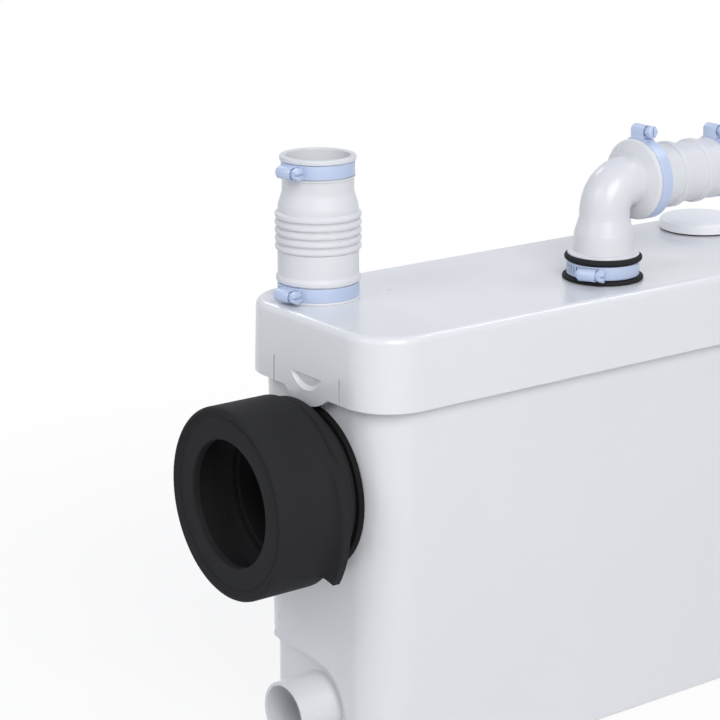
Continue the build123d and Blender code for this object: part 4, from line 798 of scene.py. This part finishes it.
class AddLid(bpy.types.Operator):
    """Lid shell with its clip tongues, thumb recesses, necks and openings"""

    bl_idname = "pump.lid"
    bl_label = "Lid"
    shift = -2.0

    def execute(self, context):
        sizes = context.scene.pump_shell
        bottom, half_long, half_deep, roof = 246.7, 213.5, 75.0, 3.2
        drop, lean = 8.2, tan(radians(1.2))
        apron = bottom - drop
        lid = block("lid_shell", (-half_long, -half_deep, apron), (half_long, half_deep, LID_TOP))
        pick(lid, "EDGE", upright_edge)
        rounded_off(sizes.lid_corner, 20)
        bpy.ops.mesh.select_all(action="SELECT")
        bpy.ops.mesh.bisect(plane_co=(0, 0, bottom * MM), plane_no=(0, 0, 1))
        pick(lid, "FACE", facing_z(1, LID_TOP * MM))
        spread(half_long, half_deep, (bottom - LID_TOP) * lean, LID_TOP)
        pick(lid, "EDGE", level(LID_TOP * MM))
        rounded_off(sizes.lid_rounding, 7)
        pick(lid, "FACE", facing_z(-1, apron * MM))
        bpy.ops.mesh.inset(thickness=sizes.lid_wall * MM)
        pulled(0, drop)
        inside = LID_TOP - roof - bottom
        pulled(0, inside)
        spread(half_long, half_deep, -inside * lean, LID_TOP - roof)
        closed_mesh()
        self.trimmed(lid, half_long, bottom, drop)
        for side in (-1, 1):
            self.tongue(lid, side, half_long, bottom, sizes)
        self.necks(lid, LID_TOP, LID_TOP - roof)
        softened(lid, 0.35 * MM, 2, 50.0)
        dressed(lid, "body_plastic", LID, "lid")
        finished_by(lid, "WEIGHTED_NORMAL", keep_sharp=True)
        return {"FINISHED"}

    def trimmed(self, lid, half_long, bottom, drop):
        """Cuts the apron below the skirt away, except a hump on each end."""
        hump_width = 45.0
        radius = (hump_width**2 / 4 + drop**2) / (2 * drop)
        reach = half_long + 10.0
        waste = leave(block("waste", (-reach, -reach, bottom - 2 * drop), (reach, reach, bottom)))
        for side in (-1, 1):
            centre = (side * half_long, self.shift, bottom - drop + radius)
            cut(waste, leave(rod("hump", centre, radius, 16.0, (1, 0, 0))))
        cut(lid, waste)

    def tongue(self, lid, side, half_long, bottom, sizes):
        """A slit on each side of the tongue, and the thumb recess."""
        width, half = 68.0, sizes.slit_width / 2
        high = bottom + sizes.slit_height
        near, far = sorted((side * (half_long - 8.0), side * (half_long + 4.0)))
        for edge in (-1, 1):
            across = self.shift + edge * width / 2
            lows = (near, across - half, bottom - 2.0)
            slit = block("slit", lows, (far, across + half, high))
            pick(slit, "EDGE", lambda e: level(high * MM)(e)
                 and abs(e.verts[0].co.x - e.verts[1].co.x) > MM)
            rounded_off(half * 0.95, 4)
            cut(lid, leave(slit))
        thumb_width, thumb_drop, thumb_top = 32.6, 8.8, bottom + 11.0
        radius = (thumb_width**2 / 4 + thumb_drop**2) / (2 * thumb_drop)
        deep, skin = sizes.thumb_depth, 2.0
        middle = side * (half_long - (deep - skin) / 2)
        centre = (middle, self.shift, thumb_top - thumb_drop + radius)
        thumb = rod(
            "thumb", centre, radius - deep, deep + skin, (side, 0, 0), end_radius=radius + skin
        )
        kept_side((0, 0, thumb_top), (0, 0, 1))
        leave(thumb)
        pivot = Matrix.Translation((side * half_long * MM, 0, thumb_top * MM))
        tilt = Matrix.Rotation(radians(5.0 * side), 4, "Y")
        cut(lid, moved(thumb, pivot @ tilt @ pivot.inverted()))

    def necks(self, lid, top, under):
        """Sleeve spigot, cap neck and the holes through the lid's top."""
        outline = [(18.7, under), (21.5, under), (21.5, top + 24.0), (18.7, top + 24.0)]
        spigot = upright_turned("spigot", outline, *SLEEVE_AT, roundings=[(2, 0.8), (3, 0.8)])
        outline = [
            (18.6, top - 28.0), (25.2, top - 28.0), (25.2, top - 3.0), (21.9, top - 3.0),
            (21.9, top - 25.0), (18.6, top - 25.0),
        ]
        neck = upright_turned("neck", outline, *CAP_AT)
        for place, radius in ((SLEEVE_AT, 18.75), (CAP_AT, 21.9), (COLLAR_AT, 20.9)):
            cut(lid, leave(rod("hole", (*place, top), radius, 30.0, (0, 0, 1))))
        unite(lid, spigot)
        unite(lid, neck)


class AddCuff(bpy.types.Operator):
    """Rubber toilet cuff with its pull tab, and the retaining ring behind it"""

    bl_idname = "pump.cuff"
    bl_label = "Toilet cuff"

    def execute(self, context):
        sizes = context.scene.pump_rubber
        low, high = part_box("toilet_cuff")
        front, back, height = low.x / MM, high.x / MM, INLET_HEIGHT
        outline = [
            (front, 60.0), (front + 43.5, 60.0), (front + 45.0, 55.4), (front + 46.3, 55.4),
            (front + 48.6, 57.4), (front + 53.8, 57.4), (front + 55.1, 49.0), (back, 49.0),
            (back, 44.55), (front + 34.5, 44.55), (front + 29.9, 53.0), (front + 10.2, 53.0),
            (front + 8.0, 39.5), (front + 2.2, 39.5), (front + 2.2, 52.6), (front + 2.7, 54.0),
            (front + 0.8, 56.2), (front, 57.0),
        ]
        rounded = [
            (0, 3.0), (1, 1.2), (2, 0.8), (3, 0.8), (4, 0.8), (5, 1.0), (10, 2.0), (12, 1.0),
            (13, 1.1), (14, 1.2), (15, 0.9), (16, 0.9), (17, 0.6),
        ]
        cuff = lying_turned("cuff_rubber", outline, 0, height, roundings=rounded)
        self.tab(cuff, front, height, sizes)
        softened(cuff, 0.4 * MM, 2, 48.0)
        dressed(cuff, "black_rubber", TANK, "toilet_cuff")
        low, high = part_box("cuff_retaining_ring")
        near, far = low.x / MM, high.x / MM
        seat = near + 3.3
        outline = [
            (near, 44.6), (near, 52.5), (far, 52.5), (far, 51.05), (seat, 51.05), (seat, 44.6),
        ]
        ring = lying_turned("cuff_ring", outline, 0, height, roundings=[(1, 0.9)])
        opened(ring)
        kept_side((-HALF_LONG - height * DRAFT - 0.05, 0, height), (1, 0, DRAFT))
        leave(ring)
        dressed(ring, "dark_plastic", TANK, "cuff_retaining_ring")
        return {"FINISHED"}

    def tab(self, cuff, front, height, sizes):
        """Pull tab: a flare about the cuff, trimmed round and cut off aslant at both ends."""
        start, lip, end, top = front + 35.5, front + 41.4, front + 45.6, 72.0
        outline = [(end, 55.0), (start, 55.0), (start, 59.6)]
        for share in (0.2, 0.4, 0.6, 0.8, 1.0):
            outline.append((start + (lip - start) * share, 59.6 + (top - 59.6) * share**2))
        outline.append((end, top))
        tab = lying_turned("tab", outline, 0, height, angle=180)
        middle = ((start + end) / 2, sizes.tab_radius - 65.7, height - 5.15)
        joined(tab, leave(rod("trim", middle, sizes.tab_radius, 60.0, (1, 0, 0))), "INTERSECT")
        opened(tab)
        kept_side((0, -58.0, height + 27.0), (0, -0.563, 0.827))
        kept_side((0, -54.0, height - 44.2), (0, 0.471, -0.882))
        kept_side((0, -35.0, height), (0, 1, 0))
        unite(cuff, leave(tab))


class AddSleeve(bpy.types.Operator):
    """Ribbed rubber sleeve on the lid's spigot"""

    bl_idname = "pump.sleeve"
    bl_label = "Inlet sleeve"

    def execute(self, context):
        sizes = context.scene.pump_rubber
        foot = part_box("inlet_sleeve")[0].z / MM
        outline = [
            (21.55, 0.0), (26.2, 0.0), (26.2, 1.5), (24.6, 1.5), (24.6, 10.2), (26.35, 11.4),
            (26.35, 13.6), (25.3, 15.7), (25.3, 29.6),
        ]
        rounded = [(1, 0.5), (2, 0.5), (5, 0.8), (6, 0.9), (7, 1.2), (8, 0.4)]
        root, count = 24.8, 5
        for number in range(count):
            middle = 32.7 + number * sizes.rib_pitch
            first = len(outline)
            outline += [
                (root, middle - 2.2), (root + sizes.rib_height, middle - 1.15),
                (root + sizes.rib_height, middle + 1.15), (root, middle + 2.2),
            ]
            rounded += [(first, 0.35), (first + 1, 1.05), (first + 2, 1.05), (first + 3, 0.35)]
        first = len(outline)
        outline += [
            (25.3, 57.6), (22.3, 67.2), (22.3, 75.4), (23.1, 76.2), (23.1, 77.0),
            (21.9, 77.05), (21.9, 86.6), (23.7, 86.6), (23.7, 89.6), (20.0, 89.6),
            (20.0, 67.5), (21.55, 58.3),
        ]
        rounded += [
            (first, 9.0), (first + 1, 9.0), (first + 2, 0.6), (first + 7, 0.4),
            (first + 8, 0.9), (first + 9, 0.7), (first + 10, 6.0),
        ]
        outline = [(out, foot + up) for out, up in outline]
        sleeve = upright_turned("sleeve_rubber", outline, *SLEEVE_AT, roundings=rounded)
        dressed(sleeve, "white_rubber", LID, "inlet_sleeve")
        return {"FINISHED"}


class AddCollar(bpy.types.Operator):
    """Black rubber collar on the lid"""

    bl_idname = "pump.collar"
    bl_label = "Discharge collar"

    def execute(self, context):
        top = LID_TOP
        outline = [
            (16.05, top - 14.0), (20.6, top - 14.0), (20.6, top), (26.1, top),
            (26.1, top + 2.6), (22.4, top + 2.6), (22.4, top + 12.4), (25.0, top + 12.4),
            (25.0, top + 16.0), (18.05, top + 16.0), (18.05, top + 3.2), (11.0, top + 3.2),
            (11.0, top + 1.2), (16.05, top + 1.2),
        ]
        rounded = [(1, 0.6), (3, 1.1), (4, 1.1), (5, 0.5), (6, 0.5), (7, 1.5), (8, 1.5), (9, 0.4)]
        collar = upright_turned("collar_rubber", outline, *COLLAR_AT, roundings=rounded)
        dressed(collar, "black_rubber", LID, "discharge_collar")
        return {"FINISHED"}


class AddElbow(bpy.types.Operator):
    """Discharge elbow, bent by a spin of its upright end"""

    bl_idname = "pump.elbow"
    bl_label = "Discharge elbow"

    def execute(self, context):
        outer = self.core("elbow_shell", LID_TOP, 0.0, 40.4)
        outline = [(17.0, 16.0), (23.0, 16.0), (23.0, 17.2), (19.3, 18.2), (17.0, 18.2)]
        outline = [(out, LID_TOP + up) for out, up in outline]
        rounded = [(1, 0.4), (2, 0.5), (3, 0.5)]
        unite(outer, upright_turned("flange", outline, *COLLAR_AT, roundings=rounded))
        outline = [
            (20.0, 14.5), (23.0, 24.6), (24.2, 26.0), (25.4, 26.0), (25.4, 14.5),
        ]
        rounded = [(1, 1.0), (2, 0.6)]
        unite(outer, lying_turned("disc", outline, *OUTLET_AT, roundings=rounded))
        cut(outer, self.core("bore", LID_TOP - 0.5, 2.4, 41.4))
        softened(outer, 0.4 * MM, 2, 50.0)
        dressed(outer, "white_plastic", LID, "discharge_elbow")
        return {"FINISHED"}

    def core(self, name, foot, thinner, far):
        """Stacked rings up the socket, a quarter bend and a level run, closed at both ends."""
        bend, across = 17.5, COLLAR_AT[1]
        bend_foot = OUTLET_AT[1] - bend
        stations = [
            (18.0, foot + 3.2), (18.0, foot + 16.0), (19.3, foot + 16.1), (19.3, foot + 29.0),
            (19.1, foot + 30.0), (16.5, foot + 39.0), (16.2, foot + 40.2), (16.2, bend_foot),
        ]
        alone()
        bpy.ops.mesh.primitive_circle_add(
            vertices=64, radius=(stations[0][0] - thinner) * MM, fill_type="NGON",
            location=(0, across * MM, stations[0][1] * MM),
        )
        piece = started(name)
        before = stations[0]
        for station in stations[1:]:
            pulled(0, station[1] - before[1])
            factor = (station[0] - thinner) / (before[0] - thinner)
            centre = (0, across * MM, station[1] * MM)
            bpy.ops.transform.resize(value=(factor, factor, 1.0), center_override=centre)
            before = station
        pivot = (bend * MM, across * MM, bend_foot * MM)
        bpy.ops.mesh.spin(steps=20, angle=-pi / 2, center=pivot, axis=(0, 1, 0))
        pulled(far - bend, 0)
        closed_mesh()
        return piece


class AddConnector(bpy.types.Operator):
    """Stepped rubber connector with its two rings"""

    bl_idname = "pump.connector"
    bl_label = "Outlet connector"

    def execute(self, context):
        outline = [
            (25.4, 18.05), (25.4, 25.3), (36.0, 25.3), (38.6, 20.2), (51.5, 19.9),
            (51.9, 21.5), (55.5, 21.5), (55.9, 19.4), (73.3, 19.3), (73.7, 20.9), (77.3, 20.9),
            (77.7, 18.9), (86.0, 19.0), (89.6, 20.0), (90.4, 20.0), (90.5, 19.0),
            (104.4, 19.0), (104.4, 16.0), (40.4, 16.0), (40.4, 18.05),
        ]
        rounded = [(1, 0.8), (2, 1.2), (3, 2.2), (5, 0.5), (6, 0.5), (9, 0.5), (10, 0.5)]
        rounded += [(12, 3.0), (13, 0.5), (16, 0.9), (17, 0.5)]
        connector = lying_turned("connector_rubber", outline, *OUTLET_AT, roundings=rounded)
        dressed(connector, "white_rubber", LID, "outlet_connector")
        return {"FINISHED"}


class AddClamps(bpy.types.Operator):
    """Five worm-drive hose clamps, each a slotted band, a housing and a screw"""

    bl_idname = "pump.clamps"
    bl_label = "Hose clamps"
    screw_rise = 5.0

    def execute(self, context):
        sizes = context.scene.pump_clamps
        west, south = radians(-168.0), radians(-152.0)
        level_west = (cos(west), sin(west), 0)
        level_south = (cos(south), sin(south), 0)
        places = {
            "sleeve_lower_clamp": ((*SLEEVE_AT, 298.85), (0, 0, 1), level_west, 24.6),
            "sleeve_upper_clamp": ((*SLEEVE_AT, 374.95), (0, 0, 1), level_west, 21.9),
            "collar_clamp": ((*COLLAR_AT, 300.5), (0, 0, 1), level_south, 22.4),
            "elbow_clamp": ((30.0, *OUTLET_AT), (1, 0, 0), (0, 0, 1), 25.3),
            "outlet_clamp": ((95.3, *OUTLET_AT), (1, 0, 0), (0, 0, 1), 19.0),
        }
        for name, (middle, axis, house, seat) in places.items():
            hub = self.hub(middle, axis, house)
            self.band(name, hub, seat, sizes)
            self.screw(name, hub, seat, sizes)
        return {"FINISHED"}

    def hub(self, middle, axis, house):
        """Frame of a clamp: X to the housing, Z along the hose."""
        along, out = Vector(axis), Vector(house)
        turn = Matrix((out, along.cross(out), along)).transposed().to_4x4()
        return Matrix.Translation(Vector(middle) * MM) @ turn

    def band(self, name, hub, seat, sizes):
        """Turned band and its overlapping tail, with slots, under a tunnel housing."""
        inner = seat + 0.05
        outer = inner + sizes.band_thickness
        half = sizes.band_width / 2
        outline = [(inner, -half), (outer, -half), (outer, half), (inner, half)]
        rounded = [(1, 0.25), (2, 0.25)]
        band = upright_turned(f"{name}_band", outline, 0, 0, roundings=rounded)
        for number in range(9):
            turn = Matrix.Rotation(radians(-20.0 - 6.4 * number), 4, "Z")
            lows = (outer - 1.8, -0.55, -half * 0.62)
            slot = block("slot", lows, (outer + 1.8, 0.55, half * 0.62))
            cut(band, moved(leave(slot), turn))
        unite(band, self.foot(outer, half, sizes))
        unite(band, self.house(outer, half, sizes))
        moved(band, hub)
        softened(band, 0.22 * MM, 2, 50.0)
        dressed(band, "clamp_steel", LID, name)

    def foot(self, outer, half, sizes):
        """Saddle plate that the housing stands on, curved with the band."""
        half_angle = (sizes.house_length / 2 + 1.4) / outer * 180 / pi
        near, far = outer - 0.3, outer + 0.75
        outline = [(near, -half), (far, -half), (far, half), (near, half)]
        foot = upright_turned("foot", outline, 0, 0, angle=2 * half_angle)
        return moved(foot, Matrix.Rotation(radians(-half_angle), 4, "Z"))

    def house(self, outer, half, sizes):
        """Tunnel with a round crown, open at both ends for the screw."""
        reach = sizes.house_length / 2
        crown = outer + 8.8
        house = block("house", (outer - 0.4, -reach, -half + 0.4), (crown, reach, half - 0.4))
        pick(house, "EDGE", lambda edge: all(v.co.x > (crown - 0.1) * MM for v in edge.verts)
             and abs(edge.verts[0].co.y - edge.verts[1].co.y) > MM)
        rounded_off(3.4, 6)
        pick(house, "FACE", lambda face: abs(face.normal.y) > 0.9)
        bpy.ops.mesh.inset(thickness=0.9 * MM)
        bpy.ops.transform.resize(value=(1.0, 0.9, 1.0), center_override=(0, 0, 0))
        leave(house)
        middle = (outer + self.screw_rise, 0, 0)
        cut(house, leave(rod("screw_way", middle, 3.15, 2 * reach + 4.0, (0, 1, 0), 32)))
        return house

    def screw(self, name, hub, seat, sizes):
        """Worm screw: threaded shank and a slotted hex head."""
        outer = seat + 0.05 + sizes.band_thickness
        middle = outer + self.screw_rise
        reach = sizes.house_length / 2
        screw = self.shank(middle, reach)
        head_at = reach + 1.6 + 3.6 / 2
        head = rod("head", (middle, head_at, 0), sizes.head_across / sqrt(3), 3.6, (0, 1, 0), 6)
        pick(head, "FACE", lambda face: abs(face.normal.y) > 0.9
             and middle_of(face).y > head_at * MM)
        bpy.ops.mesh.inset(thickness=0.5 * MM)
        bpy.ops.transform.translate(value=(0, 0.25 * MM, 0))
        leave(head)
        lows = (middle - 5.0, head_at + 0.4, -0.6)
        cut(head, leave(block("slot", lows, (middle + 5.0, head_at + 3.0, 0.6))))
        unite(screw, head)
        softened(screw, 0.18 * MM, 2, 50.0)
        moved(screw, hub)
        screw.name = f"{name}_worm"
        dressed(screw, "clamp_steel", LID, f"{name}_screw")

    def shank(self, middle, reach):
        """Shank with rings of thread, turned about a line across the housing."""
        outline = [(0.0, reach + 1.8), (3.1, reach + 1.8), (3.1, reach - 0.2)]
        turns = 8
        pitch = (2 * reach - 0.6) / turns
        for number in range(turns):
            at = reach - 0.3 - number * pitch
            outline += [(2.5, at - pitch * 0.2), (2.5, at - pitch * 0.5), (3.08, at - pitch * 0.8)]
        outline += [(3.1, -reach - 0.4), (2.6, -reach - 1.6), (0.0, -reach - 1.6)]
        corners = [(middle + out, along, 0) for out, along in outline]
        return turned("shank", corners, (middle, 0, 0), (0, 1, 0), closed=False)


class AddCap(bpy.types.Operator):
    """Round service cap with its plug, and the seal under it"""

    bl_idname = "pump.cap"
    bl_label = "Service cap"

    def execute(self, context):
        top = LID_TOP
        outline = [
            (0.0, top + 1.0), (19.4, top + 1.0), (19.4, top - 8.0), (21.6, top - 8.0),
            (21.6, top + 1.0), (27.6, top + 1.0), (27.6, top + 7.6), (24.4, top + 9.0),
            (0.0, top + 9.0),
        ]
        rounded = [(3, 0.6), (5, 0.5), (6, 2.4), (7, 4.0)]
        cap = upright_turned("cap_top", outline, *CAP_AT, closed=False, roundings=rounded)
        # Painted light: the cap takes a lighter copy of the white plastic for the light on its
        # top.
        dressed(cap, "white_plastic", "service_cap", "service_cap", finish="cap_plastic")
        outline = [(21.9, top), (26.5, top), (26.5, top + 1.0), (21.9, top + 1.0)]
        seal = upright_turned("cap_gasket", outline, *CAP_AT, roundings=[(1, 0.3), (2, 0.3)])
        dressed(seal, "black_rubber", LID, "cap_seal")
        return {"FINISHED"}


class AddStubs(bpy.types.Operator):
    """Low inlet stubs with their flanges and ears, and the blanking cap"""

    bl_idname = "pump.stubs"
    bl_label = "Inlet stubs"

    def execute(self, context):
        for side, name in ((-1, "left_inlet_stub"), (1, "right_inlet_stub")):
            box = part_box(name)
            outer = box[0 if side < 0 else 1].x / MM
            recess = outer - side * 29.8
            pad = recess - side * 3.5
            inner = pad - side * 2.6
            seat = inner - side * 6.0
            outline = [
                (outer, 19.2), (outer, 21.4), (recess, 21.4), (recess, 21.9), (pad, 21.9),
                (pad, 26.0), (inner, 26.0), (inner, 21.4), (seat, 21.4), (seat, 19.2),
            ]
            rounded = [(0, 0.4), (1, 0.6), (5, 0.6), (6, 0.6)]
            stub = lying_turned(f"{name}_pipe", outline, 0, STUB_HEIGHT, roundings=rounded)
            pin_along, pin_up = seat - side * 3.6, 60.4
            for edge in (-1, 1):
                across = (edge * 6.2 - 1.2, edge * 6.2 + 1.2)
                up = (pin_up - 2.8, pin_up + 2.8)
                unite(stub, end_block("ear", side, (abs(inner), abs(seat) - 8.0), across, up))
            hole = leave(rod("pin_hole", (pin_along, 0, pin_up), 1.55, 40.0, (0, 1, 0), 24))
            cut(stub, hole)
            softened(stub, 0.3 * MM, 2, 50.0)
            dressed(stub, "white_plastic", TANK, name)
        low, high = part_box("blanking_cap")
        near, far = low.x / MM, high.x / MM
        outline = [
            (far - 2.6, 0.0), (far - 2.6, 21.45), (near, 21.45), (near, 24.0), (far, 24.0),
            (far, 0.0),
        ]
        rounded = [(3, 0.5), (4, 3.0)]
        cap = lying_turned(
            "blanking_cover", outline, 0, STUB_HEIGHT, closed=False, roundings=rounded
        )
        dressed(cap, "white_plastic", TANK, "blanking_cap")
        return {"FINISHED"}


class AddSoftInside(bpy.types.Operator):
    """Seals, diaphragm and windings inside the pump"""

    bl_idname = "pump.soft_inside"
    bl_label = "Seals and windings"

    def execute(self, context):
        self.lid_gasket()
        low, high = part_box("diaphragm")
        bottom, top = low.z / MM, high.z / MM
        outline = [
            (0.0, bottom), (12.0, bottom), (15.0, bottom + 0.3), (18.0, bottom),
            (21.0, bottom), (21.0, top), (18.0, top), (15.0, top - 0.3), (12.0, top),
            (0.0, top),
        ]
        rounded = [(4, 0.3), (5, 0.3)]
        disc = upright_turned(
            "diaphragm_rubber", outline, 78.0, 26.0, closed=False, roundings=rounded
        )
        dressed(disc, "black_rubber", "plunger_set", "diaphragm")
        low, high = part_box("shaft_seal")
        bottom, top = low.z / MM, high.z / MM
        outline = [
            (4.05, bottom + 1.0), (5.2, bottom), (9.0, bottom), (9.0, top), (6.0, top),
            (5.6, top - 1.4), (4.05, top - 1.8),
        ]
        rounded = [(0, 0.4), (2, 0.5), (3, 0.5), (4, 0.3)]
        seal = upright_turned("shaft_lip_seal", outline, MOTOR_ALONG, 0, roundings=rounded)
        dressed(seal, "black_rubber", TANK, "shaft_seal")
        self.windings()
        return {"FINISHED"}

    def lid_gasket(self):
        """Ring on the tank's rim, inset from a rounded block."""
        low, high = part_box("lid_seal")
        seal = block("lid_gasket", low / MM, high / MM)
        pick(seal, "EDGE", upright_edge)
        rounded_off(29.0, 16)
        pick(seal, "FACE", lambda face: abs(face.normal.z) > 0.9)
        bpy.ops.mesh.inset(thickness=4.5 * MM)
        bpy.ops.mesh.bridge_edge_loops()
        closed_mesh()
        softened(seal, 0.5 * MM, 3, 50.0)
        dressed(seal, "black_rubber", TANK, "lid_seal")

    def windings(self):
        """Coil ends above and below the core: one bent bundle, copied round."""
        low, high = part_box("stator_windings")
        count, inner, outer = 24, 23.8, 36.0
        motor = Matrix.Translation((MOTOR_ALONG * MM, 0, 0))
        coils = []
        for centre, sign in ((low.z / MM + 4.5, -1), (high.z / MM - 4.5, 1)):
            for number in range(count):
                alone()
                bpy.ops.mesh.primitive_torus_add(
                    major_segments=20,
                    minor_segments=8,
                    major_radius=4.2 * MM,
                    minor_radius=1.5 * MM,
                    location=((inner + outer) / 2 * MM, 0, centre * MM),
                    rotation=(0, radians(90 - 12 * sign), 0),
                )
                coil = started("coil")
                pivot = (0, 0, centre * MM)
                bpy.ops.transform.resize(value=(1.0, 1.0, 0.78), center_override=pivot)
                turn = Matrix.Rotation(2 * pi * number / count, 4, "Z")
                coils.append(moved(leave(coil), motor @ turn))
        alone()
        for coil in coils:
            coil.select_set(True)
        bpy.context.view_layer.objects.active = coils[0]
        bpy.ops.object.join()
        winding = bpy.context.active_object
        winding.name = "winding_ends"
        dressed(winding, "copper", TANK, "stator_windings", angle=60.0)


class FinishNodes(bpy.types.Operator):
    """Materials of the rigid pieces that keep the frame's own shape"""

    bl_idname = "pump.finishes"
    bl_label = "Finishes"

    def execute(self, context):
        slots = {row["node"]: row["material_slot"] for row in frame["record"]["subparts"]}
        special = {"vent_filter": "carbon"}
        for name, node in frame["nodes"].items():
            material = finish_for(special.get(name, slots[name]))
            node.data.materials.clear()
            node.data.materials.append(material)
        return {"FINISHED"}


class PumpPanel(bpy.types.Panel):
    """Lists the pump's pieces and sizes"""

    bl_idname = "PUMP_PT_pieces"
    bl_label = "Macerator pump"
    bl_space_type = "VIEW_3D"
    bl_region_type = "UI"
    bl_category = "Pump"

    def draw(self, context):
        for group in ("pump_colours", "pump_shell", "pump_rubber", "pump_clamps"):
            box = self.layout.box()
            settings = getattr(context.scene, group)
            for key in settings.__annotations__:
                box.prop(settings, key)
        for step in STEPS:
            self.layout.operator(step.bl_idname)


STEPS = (
    PumpStage,
    AddTank,
    AddLid,
    AddCuff,
    AddSleeve,
    AddCollar,
    AddElbow,
    AddConnector,
    AddClamps,
    AddCap,
    AddStubs,
    AddSoftInside,
    FinishNodes,
)
GROUPS = {
    "pump_colours": PumpColours,
    "pump_shell": ShellSizes,
    "pump_rubber": RubberSizes,
    "pump_clamps": ClampSizes,
}


def register():
    for kind in (*GROUPS.values(), *STEPS, PumpPanel):
        bpy.utils.register_class(kind)
    for name, kind in GROUPS.items():
        setattr(bpy.types.Scene, name, bpy.props.PointerProperty(type=kind))


def unregister():
    for name in GROUPS:
        delattr(bpy.types.Scene, name)
    for kind in reversed((*GROUPS.values(), *STEPS, PumpPanel)):
        bpy.utils.unregister_class(kind)


def main():
    register()
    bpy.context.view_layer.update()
    for step in STEPS:
        family, name = step.bl_idname.split(".")
        getattr(getattr(bpy.ops, family), name)()


if __name__ == "__main__":
    main()
